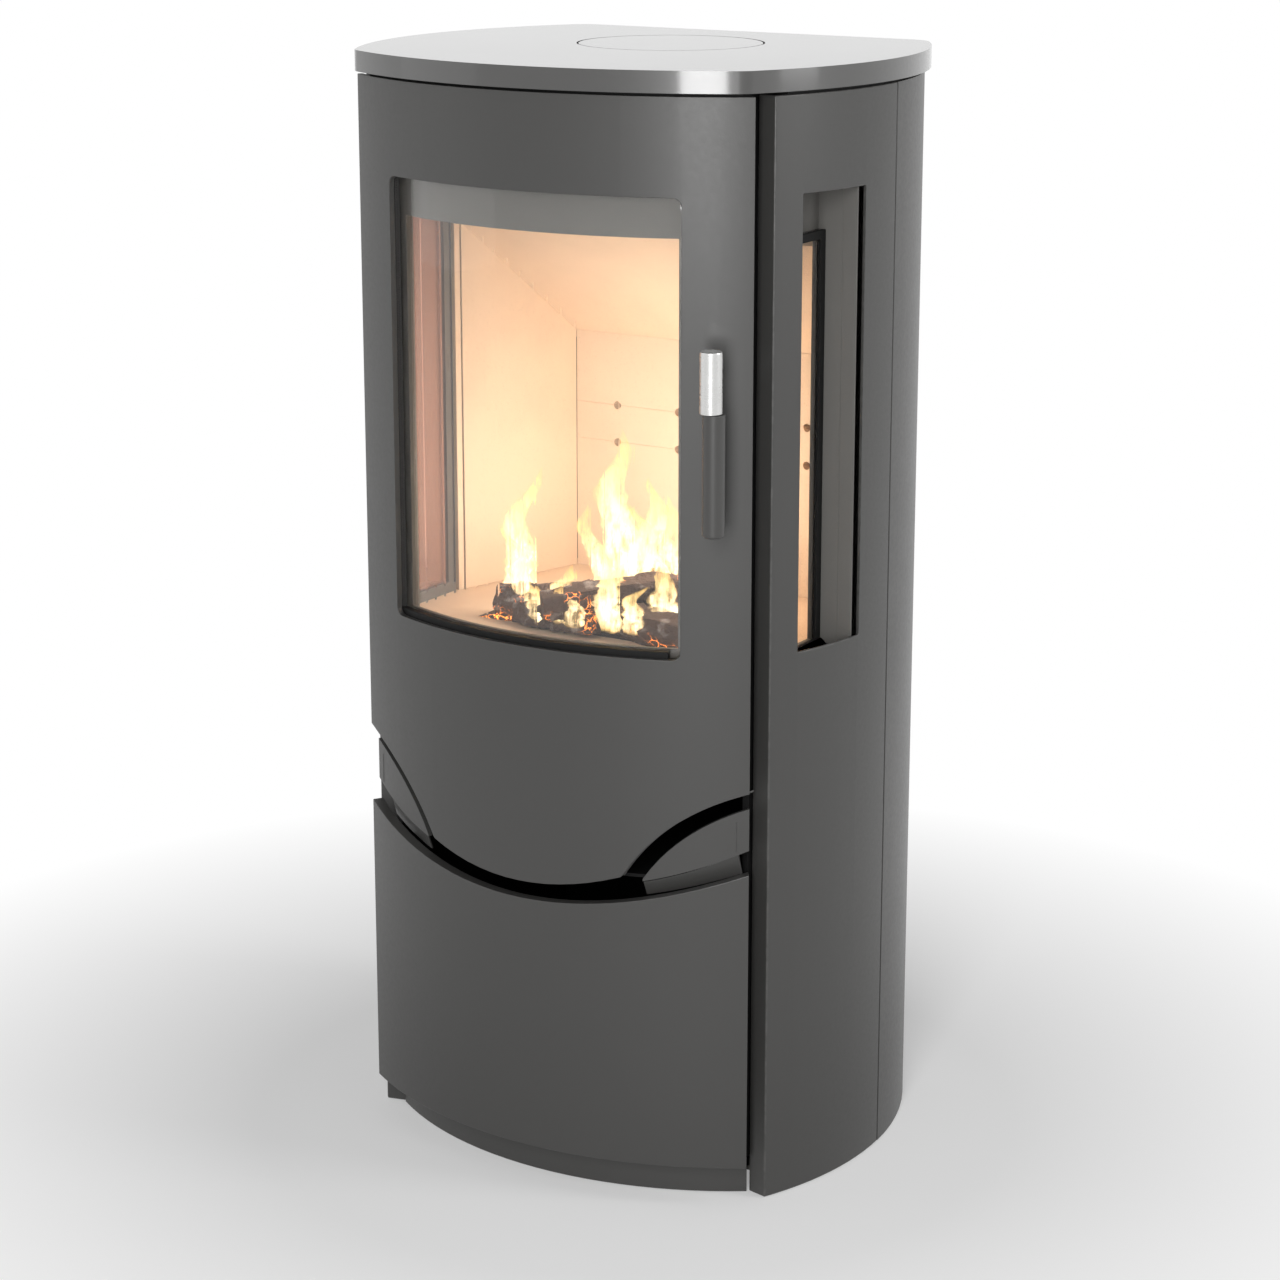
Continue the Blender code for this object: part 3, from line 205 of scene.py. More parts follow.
def paint_grain():
    """Sprayed heat-proof paint: fine grain, slow cloudiness, rubbed edges and a little dust."""
    tree, given, result = new_group(
        "Sprayed paint",
        [("Colour", "colour", (0.1, 0.1, 0.1, 1)), ("Roughness", "value", 0.45),
         ("Grain", "value", 0.0007), ("Cloud", "value", 0.05), ("Rub", "value", 0.5)],
        [("Colour", "colour"), ("Roughness", "value"), ("Height", "value")])
    coords = object_coords(tree)
    fine = noise_at(tree, coords, maths(tree, "DIVIDE", 1.0, given["Grain"]), 2.0)
    medium = noise_at(tree, coords, 260.0, 3.0)
    broad = noise_at(tree, coords, 5.5, 4.0)
    swing = maths(tree, "MULTIPLY", maths(tree, "SUBTRACT", broad, 0.5), given["Cloud"])
    speck = maths(tree, "MULTIPLY", maths(tree, "SUBTRACT", fine, 0.5), 0.10)
    tone = maths(tree, "ADD", maths(tree, "ADD", swing, speck), 1.0)
    shaded = put(tree, "ShaderNodeVectorMath", {"operation": "SCALE"},
                 {0: given["Colour"], "Scale": tone}).outputs[0]
    edge = put(tree, "ShaderNodeAttribute", {"attribute_name": "edge"}).outputs["Fac"]
    broken = remap(tree, noise_at(tree, coords, 95.0, 4.0), 0.42, 0.62)
    rub = maths(tree, "MULTIPLY", maths(tree, "MULTIPLY", edge, broken), given["Rub"])
    lighter = put(tree, "ShaderNodeVectorMath", {"operation": "SCALE"},
                  {0: shaded, "Scale": 1.9}).outputs[0]
    tree.links.new(blend_colour(tree, rub, shaded, lighter), result["Colour"])
    uneven = maths(tree, "MULTIPLY", maths(tree, "SUBTRACT", medium, 0.5), 0.16)
    patchy = maths(tree, "MULTIPLY", maths(tree, "SUBTRACT", broad, 0.5), 0.10)
    rough = maths(tree, "ADD", maths(tree, "ADD", given["Roughness"], uneven), patchy)
    rough = maths(tree, "SUBTRACT", rough, maths(tree, "MULTIPLY", rub, 0.10), True)
    tree.links.new(rough, result["Roughness"])
    tree.links.new(maths(tree, "ADD", fine, maths(tree, "MULTIPLY", medium, 0.5)), result["Height"])
    return tree


def metal_brush():
    """Fine parallel scratches; Stretch sets the direction and the spacing."""
    tree, given, result = new_group(
        "Brushed metal",
        [("Colour", "colour", (0.8, 0.8, 0.8, 1)), ("Roughness", "value", 0.25),
         ("Stretch", "vector", (20.0, 20.0, 2500.0)), ("Depth", "value", 0.5)],
        [("Colour", "colour"), ("Roughness", "value"), ("Height", "value")])
    coords = object_coords(tree)
    lines = noise_at(tree, stretched(tree, coords, given["Stretch"]), 1.0, 4.0)
    smear = noise_at(tree, coords, 60.0, 3.0)
    tone = maths(tree, "ADD", maths(tree, "MULTIPLY", maths(tree, "SUBTRACT", lines, 0.5), 0.09), 1.0)
    shaded = put(tree, "ShaderNodeVectorMath", {"operation": "SCALE"},
                 {0: given["Colour"], "Scale": tone}).outputs[0]
    tree.links.new(shaded, result["Colour"])
    spread = maths(tree, "MULTIPLY", maths(tree, "SUBTRACT", lines, 0.5), 0.08)
    touch = maths(tree, "MULTIPLY", remap(tree, smear, 0.45, 0.7), 0.08)
    rough = maths(tree, "ADD", maths(tree, "ADD", given["Roughness"], spread), touch, True)
    tree.links.new(rough, result["Roughness"])
    tree.links.new(maths(tree, "MULTIPLY", lines, given["Depth"]), result["Height"])
    return tree


def board_face():
    """Pressed lining board: pores, faint press marks and soot that gathers low and in patches."""
    tree, given, result = new_group(
        "Lining board",
        [("Colour", "colour", (0.8, 0.65, 0.5, 1)), ("Soot", "value", 0.25)],
        [("Colour", "colour"), ("Roughness", "value"), ("Height", "value")])
    coords = object_coords(tree)
    fine = noise_at(tree, coords, 900.0, 4.0)
    broad = noise_at(tree, coords, 9.0, 5.0)
    pores = put(tree, "ShaderNodeTexVoronoi", None, {"Vector": coords, "Scale": 240.0}).outputs["Distance"]
    pits = remap(tree, pores, 0.10, 0.28, 1.0, 0.0)
    height = put(tree, "ShaderNodeSeparateXYZ", None, {0: coords}).outputs[2]
    low = remap(tree, height, 0.485, 0.56, 1.0, 0.0)
    cloud = remap(tree, broad, 0.45, 0.75)
    soot = maths(tree, "MULTIPLY", maths(tree, "ADD", maths(tree, "MULTIPLY", low, 0.6), cloud, True),
                 given["Soot"])
    tint = blend_colour(tree, maths(tree, "MULTIPLY", fine, 0.22), given["Colour"], (0.93, 0.78, 0.60))
    tint = blend_colour(tree, maths(tree, "MULTIPLY", pits, 0.16), tint, (0.34, 0.24, 0.16))
    tint = blend_colour(tree, soot, tint, (0.30, 0.20, 0.13))
    tree.links.new(tint, result["Colour"])
    tree.links.new(remap(tree, fine, 0.3, 0.7, 0.82, 0.97), result["Roughness"])
    tree.links.new(maths(tree, "SUBTRACT", fine, maths(tree, "MULTIPLY", pits, 0.9)), result["Height"])
    return tree


def cast_skin():
    """Sand-cast skin with a trace of rust."""
    tree, given, result = new_group(
        "Cast skin",
        [("Colour", "colour", (0.05, 0.05, 0.05, 1)), ("Rust", "value", 0.3)],
        [("Colour", "colour"), ("Roughness", "value"), ("Height", "value")])
    coords = object_coords(tree)
    sand = noise_at(tree, coords, 1100.0, 3.0)
    lumps = noise_at(tree, coords, 180.0, 3.0)
    rust = maths(tree, "MULTIPLY", remap(tree, noise_at(tree, coords, 42.0, 5.0), 0.52, 0.70), given["Rust"])
    tree.links.new(blend_colour(tree, rust, given["Colour"], (0.17, 0.070, 0.030)), result["Colour"])
    tree.links.new(remap(tree, sand, 0.3, 0.7, 0.55, 0.80), result["Roughness"])
    tree.links.new(maths(tree, "ADD", sand, lumps), result["Height"])
    return tree


def rope_knit():
    """Crossing yarns of a knitted rope."""
    tree, given, result = new_group(
        "Knitted rope", [("Colour", "colour", (0.08, 0.08, 0.08, 1)), ("Pitch", "value", 0.0022)],
        [("Colour", "colour"), ("Roughness", "value"), ("Height", "value")])
    coords = object_coords(tree)
    scale = maths(tree, "DIVIDE", 0.5, given["Pitch"])
    yarns = []
    for turn in (0.7, -0.7):
        rotated = put(tree, "ShaderNodeMapping", None,
                      {"Vector": coords, "Rotation": (0.0, turn, 0.0)}).outputs[0]
        wave = put(tree, "ShaderNodeTexWave", {"wave_type": "BANDS", "bands_direction": "X"},
                   {"Vector": rotated, "Scale": scale, "Distortion": 0.8, "Detail": 1.0})
        yarns.append(wave.outputs["Fac"])
    knit = maths(tree, "MAXIMUM", yarns[0], yarns[1])
    lit = put(tree, "ShaderNodeVectorMath", {"operation": "SCALE"},
              {0: given["Colour"], "Scale": remap(tree, knit, 0.0, 1.0, 0.45, 1.5)}).outputs[0]
    tree.links.new(lit, result["Colour"])
    tree.links.new(remap(tree, knit, 0.0, 1.0, 0.95, 0.80), result["Roughness"])
    tree.links.new(knit, result["Height"])
    return tree


def glass_film():
    """Smoke film and wiping marks on glass."""
    tree, given, result = new_group(
        "Smoke film", [("Colour", "colour", (1, 1, 1, 1)), ("Film", "value", 0.1)],
        [("Colour", "colour"), ("Roughness", "value")])
    coords = object_coords(tree)
    wipe = noise_at(tree, stretched(tree, coords, (9.0, 9.0, 34.0)), 1.0, 4.0)
    height = put(tree, "ShaderNodeSeparateXYZ", None, {0: coords}).outputs[2]
    low = remap(tree, height, 0.50, 0.60, 1.0, 0.15)
    film = maths(tree, "MULTIPLY", maths(tree, "MULTIPLY", wipe, low), given["Film"])
    tree.links.new(blend_colour(tree, film, given["Colour"], (0.62, 0.50, 0.38)), result["Colour"])
    tree.links.new(maths(tree, "MULTIPLY", film, 0.25), result["Roughness"])
    return tree


def finish_material(name, tree, values, bump=0.0, bump_distance=0.0001, fixed=None):
    """One Principled material fed by one effect group."""
    made = bpy.data.materials.new(name)
    made.use_nodes = True
    shader = made.node_tree.nodes["Principled BSDF"]
    group = put(made.node_tree, "ShaderNodeGroup", {"node_tree": tree})
    for key, value in values.items():
        socket = group.inputs[key]
        socket.default_value = (*value, 1.0) if socket.type == "RGBA" else value
    made.node_tree.links.new(group.outputs["Colour"], shader.inputs["Base Color"])
    made.node_tree.links.new(group.outputs["Roughness"], shader.inputs["Roughness"])
    if bump:
        lift = put(made.node_tree, "ShaderNodeBump", None,
                   {"Height": group.outputs["Height"], "Strength": bump, "Distance": bump_distance})
        made.node_tree.links.new(lift.outputs[0], shader.inputs["Normal"])
    for key, value in (fixed or {}).items():
        shader.inputs[key].default_value = value
    return made


def build_finishes(colours):
    """Every finish by name; those named after a slot are the slots' own."""
    paint, brush, board = paint_grain(), metal_brush(), board_face()
    cast, rope, film = cast_skin(), rope_knit(), glass_film()
    return {
        "stove_paint": finish_material(
            "Satin anthracite", paint, {"Colour": tuple(colours.paint), "Roughness": 0.44, "Grain": 0.0008,
                                        "Cloud": 0.07, "Rub": 0.55}, 0.22, 0.00012,
            {"IOR": 1.5, "Coat Weight": 0.14, "Coat Roughness": 0.22}),
        "wiped_paint": finish_material(
            "Satin anthracite wiped smooth", paint,
            {"Colour": tuple(colours.paint), "Roughness": 0.34, "Grain": 0.0010, "Cloud": 0.10,
             "Rub": 0.40}, 0.08, 0.0001, {"IOR": 1.5, "Coat Weight": 1.0, "Coat Roughness": 0.10}),
        # Matt black: the posts' and frames' real black paint, darkened into painted shade for the gaps beside
        # the door.
        "black_paint": finish_material(
            "Matt black", paint, {"Colour": tuple(colours.black), "Roughness": 0.58, "Grain": 0.0009,
                                  "Cloud": 0.20, "Rub": 0.80}, 0.25, 0.00012, {"IOR": 1.30}),
        # Inner sheet: painted grey sheet, made lighter than the casing paint as painted light for the parts
        # behind the glass.
        "inner_steel": finish_material(
            "Inner sheet", paint, {"Colour": tuple(colours.inner), "Roughness": 0.50, "Grain": 0.0010,
                                   "Cloud": 0.18, "Rub": 0.30}, 0.25, 0.00012, {"IOR": 1.5}),
        "fire_board": finish_material(
            "Cream fire board", board, {"Colour": tuple(colours.board), "Soot": 0.16}, 0.30, 0.0002),
        "cast_iron": finish_material(
            "Grey casting", cast, {"Colour": tuple(colours.iron), "Rust": 0.35}, 0.45, 0.0003,
            {"Metallic": 0.6}),
        "zinc_steel": finish_material(
            "Zinc plate", brush, {"Colour": tuple(colours.zinc), "Roughness": 0.36,
                                  "Stretch": (240.0, 240.0, 320.0), "Depth": 0.4}, 0.15, 0.0001,
            {"Metallic": 1.0}),
        "stainless_steel": finish_material(
            "Brushed stainless", brush, {"Colour": tuple(colours.steel), "Roughness": 0.26,
                                         "Stretch": (30.0, 30.0, 2200.0), "Depth": 0.12}, 0.01, 0.00001,
            {"Metallic": 1.0}),
        "seal_rope": finish_material(
            "Knitted seal", rope, {"Colour": tuple(colours.rope), "Pitch": 0.0022}, 0.8, 0.0006),
        "stove_glass": finish_material(
            "Clear stove glass", film, {"Colour": tuple(colours.glass), "Film": 0.10}, 0.0, 0.0,
            {"Transmission Weight": 1.0, "IOR": 1.45}),
        # Left side glass: its reddish tint and lowered transmission are a painted reflection of the fire's
        # glow; the film over it is smoke.
        "side_glass": finish_material(
            "Smoked side glass", film, {"Colour": tuple(colours.glow_tint), "Film": 0.30}, 0.0, 0.0,
            {"Transmission Weight": 0.74, "IOR": 1.45}),
    }


def slot_of(node):
    for entry in frame["record"]["subparts"]:
        if entry["node"] == node:
            return entry["material_slot"]
    raise RuntimeError(f"no material slot is recorded for {node}")


def body_name(node):
    for name, nodes in frame["record"]["behaviour"]["bodies"].items():
        if node in nodes:
            return name
    raise RuntimeError(f"no body is recorded for {node}")


FINISHES = {}


def finishes(scene):
    if not FINISHES:
        FINISHES.update(build_finishes(scene.stove_finish))
    return FINISHES


# ---- mesh helpers ----------------------------------------------------------------------------

def new_object(name, mesh, material=None):
    made = bpy.data.objects.new(name, mesh)
    bpy.context.scene.collection.objects.link(made)
    if material:
        mesh.materials.clear()
        mesh.materials.append(material)
    return made


def settle(obj):
    """Replace an object's live modifiers with the mesh they make."""
    graph = bpy.context.evaluated_depsgraph_get()
    mesh = bpy.data.meshes.new_from_object(obj.evaluated_get(graph), preserve_all_data_layers=True,
                                           depsgraph=graph)
    old = obj.data
    obj.modifiers.clear()
    obj.data = mesh
    mesh.name = obj.name
    bpy.data.meshes.remove(old)
    return obj


def mark_edges(mesh, width):
    """Face attribute that is 1 on the narrow faces of rounded edges."""
    layer = mesh.attributes.new("edge", "FLOAT", "FACE")
    for face in mesh.polygons:
        rim = sum((mesh.vertices[face.vertices[i]].co - mesh.vertices[face.vertices[i - 1]].co).length
                  for i in range(len(face.vertices)))
        narrow = 2 * face.area / max(rim, 1e-9)
        layer.data[face.index].value = 1.0 if narrow < width * 0.75 else 0.0


def rounded(work_mesh, name, width, material, angle=32.0, segments=2):
    """A closed mesh with its sharp edges rounded."""
    made = new_object(name, work_mesh, material)
    bevel = made.modifiers.new("edge", "BEVEL")
    bevel.width = width
    bevel.segments = segments
    bevel.limit_method = "ANGLE"
    bevel.angle_limit = math.radians(angle)
    bevel.miter_outer = "MITER_ARC"
    bevel.use_clamp_overlap = True
    weighted = made.modifiers.new("normals", "WEIGHTED_NORMAL")
    weighted.keep_sharp = False
    work_mesh.shade_smooth()
    settle(made)
    mark_edges(made.data, width)
    return made


def fine_piece(scene, node, width, suffix="sheet", segments=2, finish=None):
    """A finer copy of a CAD node with rounded edges, which stands for it."""
    source = frame["nodes"][node].data
    work = bmesh.new()
    work.from_mesh(source)
    bmesh.ops.remove_doubles(work, verts=work.verts, dist=0.00002)
    bmesh.ops.dissolve_limit(work, angle_limit=math.radians(0.4), verts=work.verts, edges=work.edges)
    mesh = bpy.data.meshes.new(f"{node}_{suffix}")
    work.to_mesh(mesh)
    work.free()
    slot = slot_of(node)
    made = rounded(mesh, f"{node}_{suffix}", width, finishes(scene)[finish or slot], segments=segments)
    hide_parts(node)
    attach(made, body_name(node))
    return made


def keep_nodes(scene, names, finish=None):
    """Give CAD nodes whose shape is right their finish and nothing else."""
    for name in names:
        node = frame["nodes"][name]
        node.data.materials.clear()
        node.data.materials.append(finishes(scene)[finish or slot_of(name)])


def add_piece(obj, body):
    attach(obj, body)
    return obj


def front_at(radius, x, z):
    """Point on the bowed front at a distance from the middle."""
    turn = math.asin(x / radius)
    return Vector((radius * math.sin(turn), FRONT_CENTRE_Y - radius * math.cos(turn), z))


def tube_from(rows, name):
    """Closed body lofted through rings of points."""
    work = bmesh.new()
    rings = [[work.verts.new(point) for point in row] for row in rows]
    size = len(rings[0])
    for first, second in zip(rings, rings[1:]):
        for index in range(size):
            after = (index + 1) % size
            work.faces.new((first[index], first[after], second[after], second[index]))
    work.faces.new(rings[0])
    work.faces.new(list(reversed(rings[-1])))
    bmesh.ops.recalc_face_normals(work, faces=work.faces)
    mesh = bpy.data.meshes.new(name)
    work.to_mesh(mesh)
    work.free()
    return mesh


# ---- pieces ----------------------------------------------------------------------------------

class STOVE_OT_casing(bpy.types.Operator):
    """Side panels, corners, back, top, plinth and feet"""
    bl_idname = "stove.casing"
    bl_label = "Casing"

    def execute(self, context):
        scene = context.scene
        shape = scene.stove_shape
        for node in ("side_panel_left", "side_panel_right"):
            fine_piece(scene, node, shape.bend_round, segments=3)
        for node in ("rear_corner_left", "rear_corner_right", "plinth"):
            fine_piece(scene, node, shape.sheet_round)
        fine_piece(scene, "top_plate", shape.bend_round, "shell", segments=3, finish="wiped_paint")
        fine_piece(scene, "flue_cover", shape.sheet_round, "disc", finish="wiped_paint")
        keep_nodes(scene, [f"levelling_foot_{row}_{side}" for row in ("front", "rear") for side in SIDES])
        keep_nodes(scene, ["back_panel", "base_plate", "top_frame", "flue_collar"])
        return {"FINISHED"}


def lofted_sheet(name, rings, side, width, finish):
    """Sheet lofted through rings of points drawn for the right side."""
    rows = [[(point.x * SIDES[side], point.y, point.z) for point in ring] for ring in rings]
    return rounded(tube_from(rows, name), name, width, finish, angle=40)


def rolled_edge(scene, side):
    """Sheet turned in along the slanted edge of the door's tongue."""
    depth = scene.stove_shape.roll_depth
    front = FRONT_RADIUS - DOOR_SHEET - 0.1 * MM
    section = ((front, 0.3 * MM), (front - depth, 0.6 * MM), (front - depth, ROLL_THICK), (front, ROLL_THICK))
    rings = []
    for step in range(ROLL_STEPS + 1):
        x = SCALLOP_START + (DOOR_HALF - SCALLOP_START) * step / ROLL_STEPS
        slope = (SCALLOP_CENTRE[0] - x) / SCALLOP_RADIUS
        rise = math.sqrt(1 - slope ** 2)
        ring = []
        for radius, inset in section:
            grown = SCALLOP_RADIUS + inset
            along = max(SCALLOP_CENTRE[0] - grown * slope, SCALLOP_INNER)
            ring.append(front_at(radius, along, SCALLOP_CENTRE[1] + grown * rise))
        rings.append(ring)
    made = lofted_sheet(f"door_rolled_edge_{side}", rings, side, 0.4 * MM, finishes(scene)["stove_paint"])
    add_piece(made, "door")


def petal_flange(scene, side):
    """Flange folded down and in along the lower edge of a petal."""
    rings = []
    for step in range(FLANGE_STEPS + 1):
        share = step / FLANGE_STEPS * FLANGE_REACH[side]
        x = PETAL_TIP[0] + (PETAL_END[0] - PETAL_TIP[0]) * share
        top = PETAL_TIP[1] + (PETAL_END[1] - PETAL_TIP[1]) * share - PETAL_SAG * share * (1 - share)
        hidden = LOWER_DOOR_TOP + LOWER_DOOR_RISE * (x / LOWER_DOOR_HALF) ** 2
        low = max(top - scene.stove_shape.flange_fall, hidden + 1.5 * MM)
        rings.append([front_at(PETAL_RADIUS - drop * MM, x, z) for drop, z in (
            (0.4, top - 0.35 * MM), (6.0, low), (8.0, low), (2.4, top - 0.35 * MM))])
    made = lofted_sheet(f"petal_flange_{side}", rings, side, 0.3 * MM, finishes(scene)["stove_paint"])
    add_piece(made, "stove_body")


class STOVE_OT_doors(bpy.types.Operator):
    """Upper door sheet with its rolled edges, lower door, petals and sill"""
    bl_idname = "stove.doors"
    bl_label = "Doors"

    def execute(self, context):
        scene = context.scene
        shape = scene.stove_shape
        fine_piece(scene, "door_panel", shape.sheet_round)
        fine_piece(scene, "lower_door_panel", shape.sheet_round)
        fine_piece(scene, "window_sill_trim", shape.sheet_round, "rail")
        for side in SIDES:
            fine_piece(scene, f"petal_{side}", shape.sheet_round)
            rolled_edge(scene, side)
            petal_flange(scene, side)
        return {"FINISHED"}


def window_plate(scene, name, outline, side, low, high):
    """Upright plate over a plan outline drawn for the right side."""
    plan = [(x * SIDES[side], y) for x, y in outline]
    rows = [[(x, y, z) for x, y in plan] for z in (low, high)]
    made = rounded(tube_from(rows, name), name, 0.3 * MM, finishes(scene)["inner_steel"])
    add_piece(made, "stove_body")


def window_jamb(scene, side):
    """Jamb plate behind a side window and the sill plate under it."""
    jamb = [(JAMB_IN, JAMB_FRONT), (JAMB_OUT, JAMB_FRONT), (JAMB_OUT, JAMB_BACK), (JAMB_IN, JAMB_BACK)]
    window_plate(scene, f"side_window_jamb_{side}", jamb, side, JAMB_LOW, JAMB_TOP)
    back = JAMB_FRONT - 0.5 * MM
    sill = [(SILL_IN, back)]
    for step in range(SILL_STEPS + 1):
        y = SILL_FRONT + (back - SILL_FRONT) * step / SILL_STEPS
        sill.insert(0, (SIDE_CENTRE[0] + math.sqrt(SIDE_INNER_RADIUS ** 2 - (y - SIDE_CENTRE[1]) ** 2), y))
    sill.append((SILL_IN, SILL_FRONT))
    window_plate(scene, f"side_window_sill_{side}", sill, side, SILL_Z, SILL_Z + SILL_SHEET)


class STOVE_OT_windows(bpy.types.Operator):
    """Glass, seals and the frames that hold them"""
    bl_idname = "stove.windows"
    bl_label = "Windows"

    def execute(self, context):
        scene = context.scene
        shape = scene.stove_shape
        fine_piece(scene, "door_inner_frame", shape.sheet_round, "pressing")
        for side in SIDES:
            fine_piece(scene, f"side_window_frame_{side}", shape.sheet_round / 2, "bezel")
            window_jamb(scene, side)
        keep_nodes(scene, ["door_glass", "side_glass_right", "glass_gasket", "door_seal"])
        # Only the left side glass gets the tint of painted glow reflection.
        keep_nodes(scene, ["side_glass_left"], "side_glass")
        return {"FINISHED"}


class STOVE_OT_firebox(bpy.types.Operator):
    """Firebox shell, lining boards, grate and ash pan"""
    bl_idname = "stove.firebox"
    bl_label = "Firebox"

    def execute(self, context):
        scene = context.scene
        boards = ["liner_back_lower", "liner_back_middle", "liner_back_upper", "liner_left", "liner_right",
                  "hearth_liner", "baffle_board"]
        keep_nodes(scene, boards + ["firebox_shell", "grate", "ash_housing", "ash_pan"])
        return {"FINISHED"}


class STOVE_OT_handle(bpy.types.Operator):
    """Bar handle with its brushed cap, stem and latch hook"""
    bl_idname = "stove.handle"
    bl_label = "Handle"

    def execute(self, context):
        scene = context.scene
        for node in ("handle_cap", "handle_grip"):
            fine_piece(scene, node, scene.stove_shape.sheet_round, "bar")
        keep_nodes(scene, ["handle_stem", "latch_hook", "latch_keeper"])
        return {"FINISHED"}


def screw_tree():
    """Geometry nodes that put a head on each point, turned by chance about its own axis."""
    tree = bpy.data.node_groups.new("Screw heads", "GeometryNodeTree")
    tree.interface.new_socket(name="Geometry", in_out="INPUT", socket_type="NodeSocketGeometry")
    radius = tree.interface.new_socket(name="Radius", in_out="INPUT", socket_type="NodeSocketFloat")
    radius.default_value = 0.003
    finish = tree.interface.new_socket(name="Finish", in_out="INPUT", socket_type="NodeSocketMaterial")
    head = tree.interface.new_socket(name="Head", in_out="INPUT", socket_type="NodeSocketObject")
    tree.interface.new_socket(name="Geometry", in_out="OUTPUT", socket_type="NodeSocketGeometry")
    enter = tree.nodes.new("NodeGroupInput")
    leave = tree.nodes.new("NodeGroupOutput")
    points = tree.nodes.new("GeometryNodeMeshToPoints")
    shape = tree.nodes.new("GeometryNodeObjectInfo")
    place = tree.nodes.new("GeometryNodeInstanceOnPoints")
    spread = tree.nodes.new("FunctionNodeRandomValue")
    spread.data_type = "FLOAT_VECTOR"
    spread.inputs[0].default_value = (0.0, -math.pi, 0.0)
    spread.inputs[1].default_value = (0.0, math.pi, 0.0)
    spread.inputs["Seed"].default_value = 7
    size = tree.nodes.new("ShaderNodeCombineXYZ")
    real = tree.nodes.new("GeometryNodeRealizeInstances")
    coat = tree.nodes.new("GeometryNodeSetMaterial")
    link = tree.links.new
    link(enter.outputs["Geometry"], points.inputs["Mesh"])
    link(points.outputs["Points"], place.inputs["Points"])
    link(enter.outputs["Head"], shape.inputs["Object"])
    link(shape.outputs["Geometry"], place.inputs["Instance"])
    link(spread.outputs[0], place.inputs["Rotation"])
    for axis in range(3):
        link(enter.outputs["Radius"], size.inputs[axis])
    link(size.outputs[0], place.inputs["Scale"])
    link(place.outputs[0], real.inputs[0])
    link(real.outputs[0], coat.inputs["Geometry"])
    link(enter.outputs["Finish"], coat.inputs["Material"])
    link(coat.outputs[0], leave.inputs[0])
    return tree, radius.identifier, finish.identifier, head.identifier


def screw_head():
    """Domed head of radius 1 that faces +Y, with a round recess."""
    work = bmesh.new()
    profile = [(1.0, 0.0), (1.0, 0.18), (0.9, 0.36), (0.66, 0.52), (0.36, 0.60)]
    steps = 16
    turns = [2 * math.pi * step / steps for step in range(steps)]
    rings = []
    for radius, rise in profile:
        rings.append([work.verts.new((radius * math.cos(turn), rise, radius * math.sin(turn)))
                      for turn in turns])
    for first, second in zip(rings, rings[1:]):
        for index in range(steps):
            after = (index + 1) % steps
            work.faces.new((first[index], first[after], second[after], second[index]))
    work.faces.new(rings[0])
    centre = work.verts.new((0, 0.30, 0))
    for index in range(steps):
        after = (index + 1) % steps
        work.faces.new((rings[-1][index], rings[-1][after], centre))
    bmesh.ops.recalc_face_normals(work, faces=work.faces)
    mesh = bpy.data.meshes.new("screw_head_form")
    work.to_mesh(mesh)
    work.free()
    return new_object("screw_head_form", mesh)


class STOVE_OT_screws(bpy.types.Operator):
    """Screws that hold the back panel"""
    bl_idname = "stove.screws"
    bl_label = "Back screws"

    def execute(self, context):
        scene = context.scene
        low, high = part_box("back_panel")
        inset, end, rows = 10 * MM, 20 * MM, 5
        spots = []
        for row in range(rows):
            z = low.z + end + (high.z - low.z - 2 * end) * row / (rows - 1)
            spots += [(low.x + inset, high.y, z), (high.x - inset, high.y, z)]
        mesh = bpy.data.meshes.new("back_screws")
        mesh.from_pydata(spots, [], [])
        made = new_object("back_screws", mesh)
        form = screw_head()
        tree, radius, finish, head = screw_tree()
        nodes = made.modifiers.new("screws", "NODES")
        nodes.node_group = tree
        nodes[radius] = scene.stove_shape.screw_radius
        nodes[finish] = finishes(scene)["zinc_steel"]
        nodes[head] = form
        settle(made)
        bpy.data.objects.remove(form, do_unlink=True)
        if not made.data.polygons:
            raise RuntimeError("the back screws came out empty")
        made.data.shade_smooth()
        add_piece(made, "stove_body")
        return {"FINISHED"}


class STOVE_OT_fittings(bpy.types.Operator):
    """Posts, hinges, air lever and the compartment's sheets"""
    bl_idname = "stove.fittings"
    bl_label = "Fittings"

    def execute(self, context):
        scene = context.scene
        for side in SIDES:
            fine_piece(scene, f"front_post_{side}", scene.stove_shape.sheet_round / 2, "bar")
        names = ["compartment_side_left", "compartment_side_right", "compartment_back",
                 "compartment_ceiling", "air_lever", "air_lever_pin"]
        for door in ("door", "lower_door"):
            names += [f"{door}_{part}_{level}" for part in ("hinge", "pivot") for level in ("upper", "lower")]
        keep_nodes(scene, names)
        return {"FINISHED"}


# ---- fire ------------------------------------------------------------------------------------

